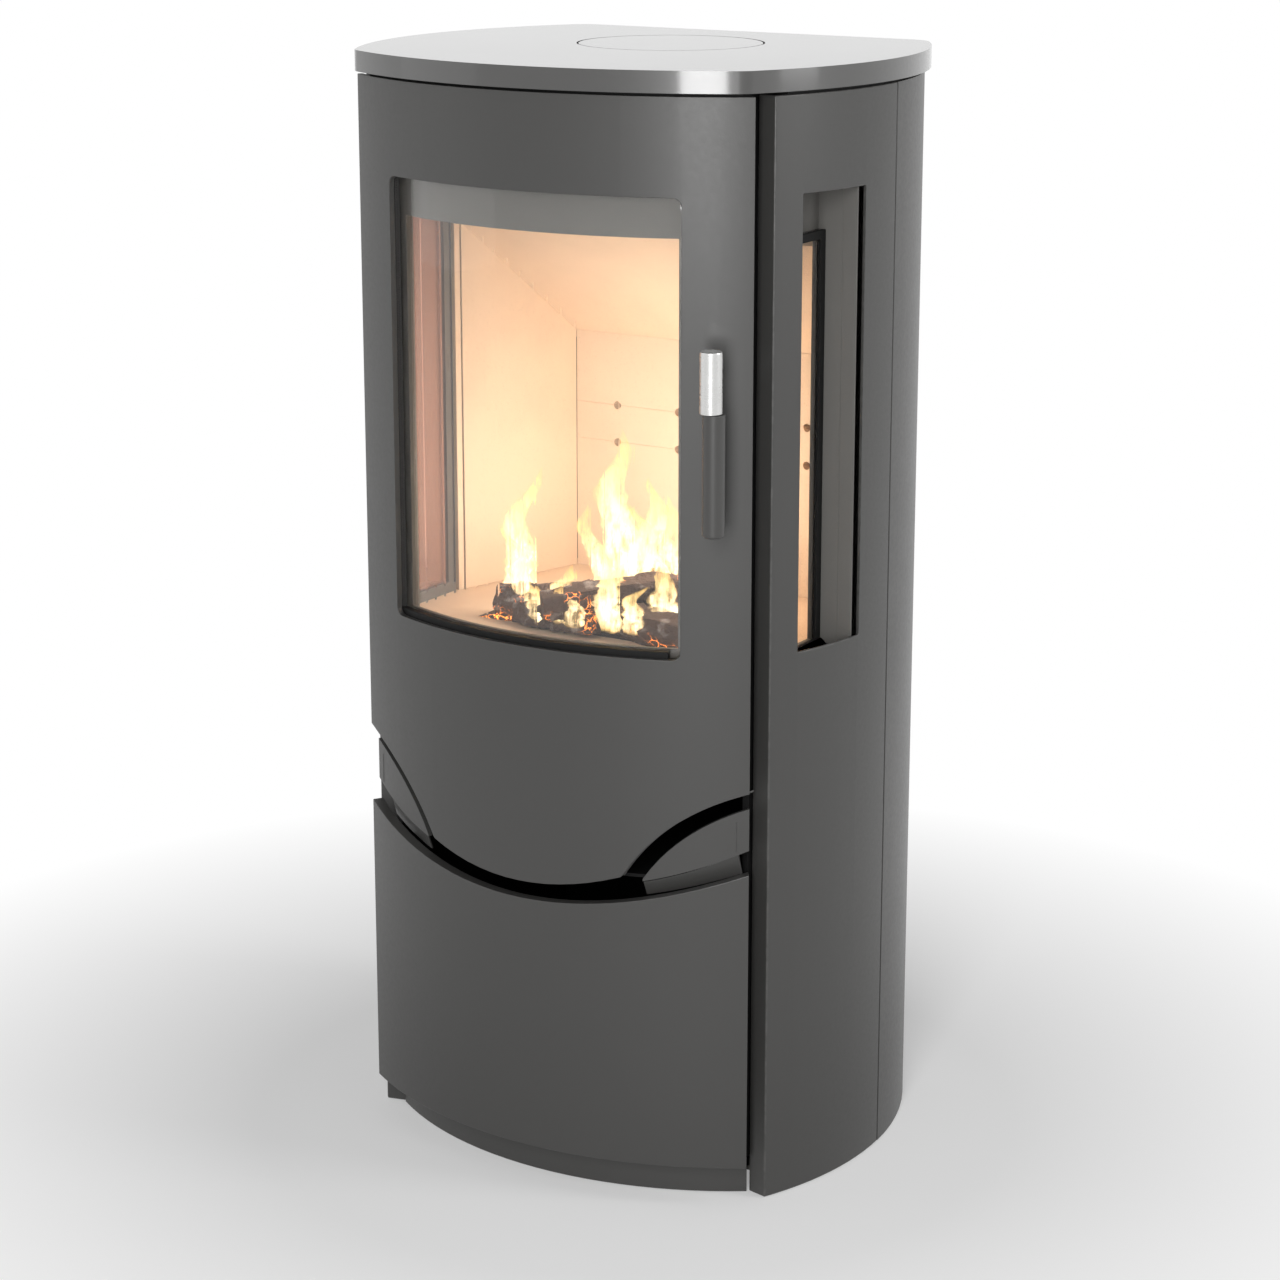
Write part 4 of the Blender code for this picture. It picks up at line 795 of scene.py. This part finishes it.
def glow_material(name, core, rim, strength):
    """Flame: bright in its core, clear at its rim and thinner towards its tip."""
    made = bpy.data.materials.new(name)
    made.use_nodes = True
    tree = made.node_tree
    tree.nodes.clear()
    out = tree.nodes.new("ShaderNodeOutputMaterial")
    height = put(tree, "ShaderNodeAttribute", {"attribute_name": "rise"}).outputs["Fac"]
    coords = object_coords(tree)
    streak = noise_at(tree, stretched(tree, coords, (150.0, 150.0, 38.0)), 1.0, 4.0)
    facing = tree.nodes.new("ShaderNodeLayerWeight")
    facing.inputs["Blend"].default_value = 0.35
    depth = maths(tree, "SUBTRACT", 1.0, facing.outputs["Facing"])
    core_share = maths(tree, "POWER", remap(tree, depth, 0.10, 0.95), 1.5)
    fade = maths(tree, "MULTIPLY", remap(tree, height, 0.35, 1.0, 1.0, 0.0),
                 remap(tree, height, 0.0, 0.10, 0.25, 1.0))
    body = maths(tree, "MULTIPLY", core_share, remap(tree, streak, 0.36, 0.62, 0.12, 1.0))
    alpha = maths(tree, "MULTIPLY", body, maths(tree, "POWER", fade, 0.6), True)
    shade = blend_colour(tree, maths(tree, "POWER", maths(tree, "MULTIPLY", alpha, fade), 0.7), rim, core)
    light = put(tree, "ShaderNodeEmission", None, {"Color": shade, "Strength": strength})
    clear = tree.nodes.new("ShaderNodeBsdfTransparent")
    mix = put(tree, "ShaderNodeMixShader", None, {0: alpha})
    tree.links.new(clear.outputs[0], mix.inputs[1])
    tree.links.new(light.outputs[0], mix.inputs[2])
    tree.links.new(mix.outputs[0], out.inputs["Surface"])
    return made


def ember_material(name, bark, glow, strength):
    """Charred wood with cracks that still glow."""
    made = bpy.data.materials.new(name)
    made.use_nodes = True
    tree = made.node_tree
    shader = tree.nodes["Principled BSDF"]
    coords = object_coords(tree)
    grain = noise_at(tree, coords, 160.0, 6.0, 0.7)
    warp = put(tree, "ShaderNodeTexNoise", None, {"Vector": coords, "Scale": 70.0, "Detail": 4.0}).outputs[1]
    shift = put(tree, "ShaderNodeVectorMath", {"operation": "SCALE"}, {0: warp, "Scale": 0.022}).outputs[0]
    ragged = put(tree, "ShaderNodeVectorMath", {"operation": "ADD"}, {0: coords, 1: shift}).outputs[0]
    plates = put(tree, "ShaderNodeTexVoronoi", {"feature": "DISTANCE_TO_EDGE"},
                 {"Vector": ragged, "Scale": 105.0}).outputs["Distance"]
    crack = remap(tree, plates, 0.01, 0.05, 1.0, 0.0)
    patch = remap(tree, noise_at(tree, coords, 34.0, 3.0), 0.56, 0.68)
    ash = remap(tree, noise_at(tree, coords, 60.0, 5.0), 0.55, 0.68)
    tint = blend_colour(tree, grain, bark, (bark[0] * 3.2, bark[1] * 2.8, bark[2] * 2.6))
    tint = blend_colour(tree, maths(tree, "MULTIPLY", ash, 0.65), tint, (0.42, 0.38, 0.35))
    tree.links.new(tint, shader.inputs["Base Color"])
    shader.inputs["Roughness"].default_value = 0.92
    hot = maths(tree, "MULTIPLY", crack, patch)
    tree.links.new(blend_colour(tree, hot, (0.0, 0.0, 0.0), glow), shader.inputs["Emission Color"])
    shader.inputs["Emission Strength"].default_value = strength
    lift = put(tree, "ShaderNodeBump", None,
               {"Height": maths(tree, "ADD", grain, maths(tree, "MULTIPLY", plates, 2.0)),
                "Strength": 0.8, "Distance": 0.002})
    tree.links.new(lift.outputs[0], shader.inputs["Normal"])
    return made


def split_log(name, middle, heading, tilt, length, radius, seed, material):
    """A split log: a rough wedge with a bark side, uneven along its length."""
    chance = random.Random(seed)
    sides = 18
    stations = 22
    along = Vector((math.cos(heading) * math.cos(tilt), math.sin(heading) * math.cos(tilt), math.sin(tilt)))
    across = Vector((-math.sin(heading), math.cos(heading), 0.0))
    up = along.cross(across) * -1
    turn = chance.uniform(0, 2 * math.pi)
    rows = []
    for step in range(stations + 1):
        share = step / stations - 0.5
        centre = middle + along * (share * length)
        ring = []
        for side in range(sides):
            angle = 2 * math.pi * side / sides + turn
            wedge = 1.0 / max(0.62, abs(math.cos((angle * 1.5) % (2 * math.pi / 3) - 0.5)))
            reach = radius * min(wedge, 1.35) * (1 - 0.18 * (2 * share) ** 4)
            place = Vector((math.cos(angle), math.sin(angle), share * 6 + seed))
            reach *= 1 + 0.22 * noise.noise(place * 2.1) + 0.10 * noise.noise(place * 7.0)
            ring.append(centre + across * (math.cos(angle) * reach) + up * (math.sin(angle) * reach))
        rows.append(ring)
    made = new_object(name, tube_from(rows, name), material)
    made.data.shade_smooth()
    made.data.set_sharp_from_angle(angle=math.radians(45))
    return made


def flame(name, foot, height, width, lean, seed, material):
    """One curling tongue of flame with a height attribute."""
    chance = random.Random(seed)
    stations = 30
    sides = 14
    phase = chance.uniform(0, 6.28)
    rows = []
    for step in range(stations + 1):
        share = step / stations
        swell = math.sin(math.pi * min(1.0, 0.16 + 0.84 * share) ** 0.72) ** 0.9
        reach = width * max(swell, 0.012)
        slow, quick = math.sin(phase + share * 6.5), math.sin(phase * 2 + share * 15.0)
        sway = (slow * 0.75 + quick * 0.22) * width * share
        bend = math.cos(phase * 1.7 + share * 6.1) * width * 0.35 * share
        centre = foot + Vector((lean * share * share + sway, bend, height * share))
        ring = []
        for side in range(sides):
            angle = 2 * math.pi * side / sides
            place = Vector((math.cos(angle), math.sin(angle), share * 4 + seed))
            spread = reach * (1 + 0.45 * noise.noise(place * 1.6) + 0.30 * noise.noise(place * 5.0))
            ring.append(centre + Vector((math.cos(angle) * spread, math.sin(angle) * spread * 0.5, 0)))
        rows.append(ring)
    made = new_object(name, tube_from(rows, name), material)
    layer = made.data.attributes.new("rise", "FLOAT", "POINT")
    for vertex in made.data.vertices:
        layer.data[vertex.index].value = min(max((vertex.co.z - foot.z) / height, 0.0), 1.0)
    made.data.shade_smooth()
    made.visible_shadow = False
    made.visible_diffuse = False
    return made


def ember_bed(material):
    """Uneven heap of coals on the hearth."""
    work = bmesh.new()
    columns, rows = 64, 40
    left, front = -0.118, -0.082
    width, depth = 0.236, 0.150
    grid = []
    for column in range(columns + 1):
        line = []
        for row in range(rows + 1):
            x = left + width * column / columns
            y = front + depth * row / rows
            edge = min(1.0, 5 * min(column / columns, 1 - column / columns, row / rows, 1 - row / rows))
            lump = 0.5 + 0.5 * noise.noise(Vector((x * 70, y * 70, 1.7)))
            fine = noise.noise(Vector((x * 210, y * 210, 4.1)))
            line.append(work.verts.new((x, y, HEARTH_Z + edge * (0.004 + 0.013 * lump + 0.003 * fine))))
        grid.append(line)
    for column in range(columns):
        for row in range(rows):
            work.faces.new((grid[column][row], grid[column + 1][row],
                            grid[column + 1][row + 1], grid[column][row + 1]))
    mesh = bpy.data.meshes.new("ember_bed")
    work.to_mesh(mesh)
    work.free()
    made = new_object("ember_bed", mesh, material)
    made.data.shade_smooth()


LOGS = (
    # middle, heading, tilt, length, radius share
    ((-0.020, -0.052, 0.4990), 0.20, 0.00, 0.170, 0.62),
    ((0.050, -0.075, 0.4985), -0.30, 0.02, 0.150, 0.60),
    ((0.000, -0.020, 0.4990), 0.45, 0.02, 0.180, 0.62),
    ((0.020, -0.060, 0.5190), 0.75, 0.10, 0.140, 0.50),
    ((-0.030, -0.085, 0.4960), -0.10, 0.03, 0.090, 0.42),
    ((0.095, -0.030, 0.5020), 1.35, 0.05, 0.110, 0.55),
    ((0.060, -0.030, 0.5200), -0.50, -0.08, 0.120, 0.48),
)
FIRE_LAMPS = (
    # place, share of the glow
    ((0.02, -0.02, 0.62), 0.6),
    ((-0.06, -0.03, 0.56), 0.2),
    ((0.07, 0.00, 0.57), 0.2),
)
FLAMES = (
    # foot, height share, width, lean
    ((-0.092, -0.055, 0.488), 0.92, 0.0170, 0.018),
    ((-0.082, -0.068, 0.488), 0.56, 0.0110, -0.010),
    ((-0.102, -0.040, 0.488), 0.46, 0.0100, 0.014),
    ((-0.060, -0.075, 0.487), 0.26, 0.0120, -0.014),
    ((0.000, -0.020, 0.512), 1.00, 0.0210, -0.012),
    ((0.014, -0.008, 0.510), 0.72, 0.0160, 0.020),
    ((-0.014, -0.032, 0.508), 0.55, 0.0130, -0.024),
    ((0.040, -0.025, 0.515), 0.55, 0.0160, -0.040),
    ((0.066, -0.020, 0.515), 0.62, 0.0170, -0.028),
    ((0.090, -0.005, 0.510), 0.76, 0.0180, -0.018),
    ((-0.022, -0.092, 0.494), 0.38, 0.0130, 0.008),
    ((-0.004, -0.098, 0.494), 0.26, 0.0110, -0.010),
    ((0.036, -0.100, 0.496), 0.46, 0.0130, -0.012),
    ((0.056, -0.096, 0.496), 0.30, 0.0110, 0.010),
    ((-0.044, -0.090, 0.490), 0.24, 0.0110, -0.008),
    ((0.014, -0.075, 0.505), 0.34, 0.0120, 0.018),
    ((0.080, -0.075, 0.500), 0.42, 0.0140, -0.016),
    ((0.104, -0.060, 0.498), 0.36, 0.0120, -0.008),
)


class STOVE_OT_fire(bpy.types.Operator):
    """Logs, coals, flames and their light, which aren't part of the stove"""
    bl_idname = "stove.fire"
    bl_label = "Fire"

    def execute(self, context):
        fire = context.scene.stove_fire
        char = ember_material("Charred wood", (0.050, 0.034, 0.026), (1.0, 0.26, 0.03), 3.5)
        coals = ember_material("Coals", (0.035, 0.026, 0.022), (1.0, 0.30, 0.04), 5.0)
        ember_bed(coals)
        for number, (middle, heading, tilt, length, share) in enumerate(LOGS):
            split_log(f"log_{number}", Vector(middle), heading, tilt, length, fire.log_radius * share,
                      number * 3 + 2, char)
        tongue = glow_material("Flame", (1.0, 0.93, 0.62), (1.0, 0.58, 0.14), 2.2)
        for number, (foot, share, width, lean) in enumerate(FLAMES):
            flame(f"flame_{number}", Vector(foot), fire.flame_height * share, width, lean,
                  number * 5 + 1, tongue)
        for number, (place, share) in enumerate(FIRE_LAMPS):
            data = bpy.data.lights.new(f"fire_light_{number}", "POINT")
            data.energy = fire.glow * share
            data.color = (1.0, 0.88, 0.76)
            data.shadow_soft_size = 0.045
            lamp = bpy.data.objects.new(f"fire_light_{number}", data)
            lamp.location = place
            lamp.visible_camera = False
            lamp.visible_transmission = False
            lamp.visible_glossy = False
            context.scene.collection.objects.link(lamp)
        return {"FINISHED"}


# ---- studio ----------------------------------------------------------------------------------

CAMERA_PLACE = (1.4728, -2.380, 1.2329)
CAMERA_TURN = 31.67
CAMERA_DIP = 14.17
CAMERA_LENS = 88.6
CAMERA_SHIFT = -0.055
FLOOR_RADIUS = 40.0
SHADOW_EDGE, WHITE_EDGE = 0.36, 0.95
LAMPS = (
    # name, place, aim, size, the power's name
    ("key_lamp", (1.22, -2.74, 1.35), (0.0, 0.0, 0.6), (0.7, 1.8), "key"),
    ("side_lamp", (2.30, 0.55, 1.60), (0.0, 0.0, 0.6), (0.7, 1.8), "side"),
    ("fill_lamp", (-2.4, -1.6, 1.4), (0.0, 0.0, 0.5), (1.6, 2.2), "fill"),
)


class StoveStudio(bpy.types.PropertyGroup):
    floor: colour_prop("Floor", "Pale studio floor", (0.90, 0.90, 0.90))
    key: bpy.props.FloatProperty(name="Key light", description="Power of the tall lamp in front",
                                 default=60.0)
    side: bpy.props.FloatProperty(name="Side light", description="Power of the tall lamp on the right",
                                  default=18.0)
    fill: bpy.props.FloatProperty(name="Fill light", description="Power of the soft lamp on the left",
                                  default=3.0)
    sky: bpy.props.FloatProperty(name="Room light", description="Strength of the even light around",
                                 default=0.20)


def seen_directly(tree):
    """1 for rays from the camera and for mirror and glass rays."""
    path = tree.nodes.new("ShaderNodeLightPath")
    direct = maths(tree, "MAXIMUM", path.outputs["Is Camera Ray"], path.outputs["Is Transmission Ray"])
    return maths(tree, "MAXIMUM", direct, path.outputs["Is Glossy Ray"])


def studio_floor(colour):
    work = bmesh.new()
    bmesh.ops.create_circle(work, cap_ends=True, radius=FLOOR_RADIUS, segments=96)
    mesh = bpy.data.meshes.new("studio_floor")
    work.to_mesh(mesh)
    work.free()
    made = bpy.data.materials.new("Studio floor")
    made.use_nodes = True
    tree = made.node_tree
    shader = tree.nodes["Principled BSDF"]
    out = tree.nodes["Material Output"]
    coords = object_coords(tree)
    soft = noise_at(tree, coords, 3.0, 2.0)
    tree.links.new(blend_colour(tree, maths(tree, "MULTIPLY", soft, 0.05), tuple(colour), (0.8, 0.8, 0.8)),
                   shader.inputs["Base Color"])
    shader.inputs["Roughness"].default_value = 0.9
    reach = put(tree, "ShaderNodeVectorMath", {"operation": "LENGTH"}, {0: coords}).outputs["Value"]
    far = remap(tree, reach, SHADOW_EDGE, WHITE_EDGE, 0.30, 1.0)
    white = put(tree, "ShaderNodeEmission", None, {"Color": (1.0, 1.0, 1.0), "Strength": 1.0})
    mix = put(tree, "ShaderNodeMixShader", None, {0: maths(tree, "MULTIPLY", far, seen_directly(tree))})
    tree.links.new(shader.outputs[0], mix.inputs[1])
    tree.links.new(white.outputs[0], mix.inputs[2])
    tree.links.new(mix.outputs[0], out.inputs["Surface"])
    new_object("studio_floor", mesh, made)


def studio_sky(strength):
    world = bpy.data.worlds.new("Studio")
    bpy.context.scene.world = world
    world.use_nodes = True
    tree = world.node_tree
    back = tree.nodes["Background"]
    back.inputs["Color"].default_value = (1.0, 1.0, 1.0, 1.0)
    amount = remap(tree, seen_directly(tree), 0.0, 1.0, strength, 1.0)
    tree.links.new(amount, back.inputs["Strength"])


def soft_lamp(name, place, target, size, power):
    data = bpy.data.lights.new(name, "AREA")
    data.shape = "RECTANGLE"
    data.size, data.size_y = size
    data.energy = power
    lamp = bpy.data.objects.new(name, data)
    lamp.location = place
    lamp.rotation_mode = "QUATERNION"
    lamp.rotation_quaternion = (Vector(target) - Vector(place)).to_track_quat("-Z", "Y")
    bpy.context.scene.collection.objects.link(lamp)


def studio_camera():
    data = bpy.data.cameras.new("studio_camera")
    data.lens = CAMERA_LENS
    data.sensor_width = 36.0
    data.shift_y = CAMERA_SHIFT
    camera = bpy.data.objects.new("studio_camera", data)
    turn, dip = math.radians(CAMERA_TURN), math.radians(CAMERA_DIP)
    look = Vector((-math.sin(turn) * math.cos(dip), math.cos(turn) * math.cos(dip), -math.sin(dip)))
    camera.location = CAMERA_PLACE
    camera.rotation_mode = "QUATERNION"
    camera.rotation_quaternion = look.to_track_quat("-Z", "Y")
    bpy.context.scene.collection.objects.link(camera)
    bpy.context.scene.camera = camera


class STOVE_OT_studio(bpy.types.Operator):
    """Floor, room light, lamps and camera"""
    bl_idname = "stove.studio"
    bl_label = "Studio"

    def execute(self, context):
        studio = context.scene.stove_studio
        context.scene.view_settings.view_transform = "Standard"
        studio_floor(studio.floor)
        studio_sky(studio.sky)
        for name, place, aim, size, power in LAMPS:
            soft_lamp(name, place, aim, size, getattr(studio, power))
        studio_camera()
        return {"FINISHED"}


class STOVE_PT_panel(bpy.types.Panel):
    """Lists the stove's pieces, sizes and colours"""
    bl_idname = "STOVE_PT_panel"
    bl_label = "Wood burning stove"
    bl_space_type = "VIEW_3D"
    bl_region_type = "UI"
    bl_category = "Stove"

    def draw(self, context):
        layout = self.layout
        for operator in OPERATORS:
            layout.operator(operator.bl_idname)
        for holder in ("stove_finish", "stove_shape", "stove_fire", "stove_studio"):
            group = getattr(context.scene, holder)
            column = layout.column()
            for key in group.__class__.__annotations__:
                column.prop(group, key)


OPERATORS = (STOVE_OT_studio, STOVE_OT_casing, STOVE_OT_doors, STOVE_OT_windows, STOVE_OT_firebox,
             STOVE_OT_handle, STOVE_OT_screws, STOVE_OT_fittings, STOVE_OT_fire)
GROUPS = (("stove_finish", StoveFinish), ("stove_shape", StoveShape), ("stove_fire", StoveFire),
          ("stove_studio", StoveStudio))


def register():
    for holder, group in GROUPS:
        bpy.utils.register_class(group)
        setattr(bpy.types.Scene, holder, bpy.props.PointerProperty(type=group))
    for operator in OPERATORS:
        bpy.utils.register_class(operator)
    bpy.utils.register_class(STOVE_PT_panel)


def unregister():
    bpy.utils.unregister_class(STOVE_PT_panel)
    for operator in reversed(OPERATORS):
        bpy.utils.unregister_class(operator)
    for holder, group in reversed(GROUPS):
        delattr(bpy.types.Scene, holder)
        bpy.utils.unregister_class(group)


def main():
    register()
    for operator in OPERATORS:
        family, action = operator.bl_idname.split(".")
        getattr(getattr(bpy.ops, family), action)()


if __name__ == "__main__":
    main()
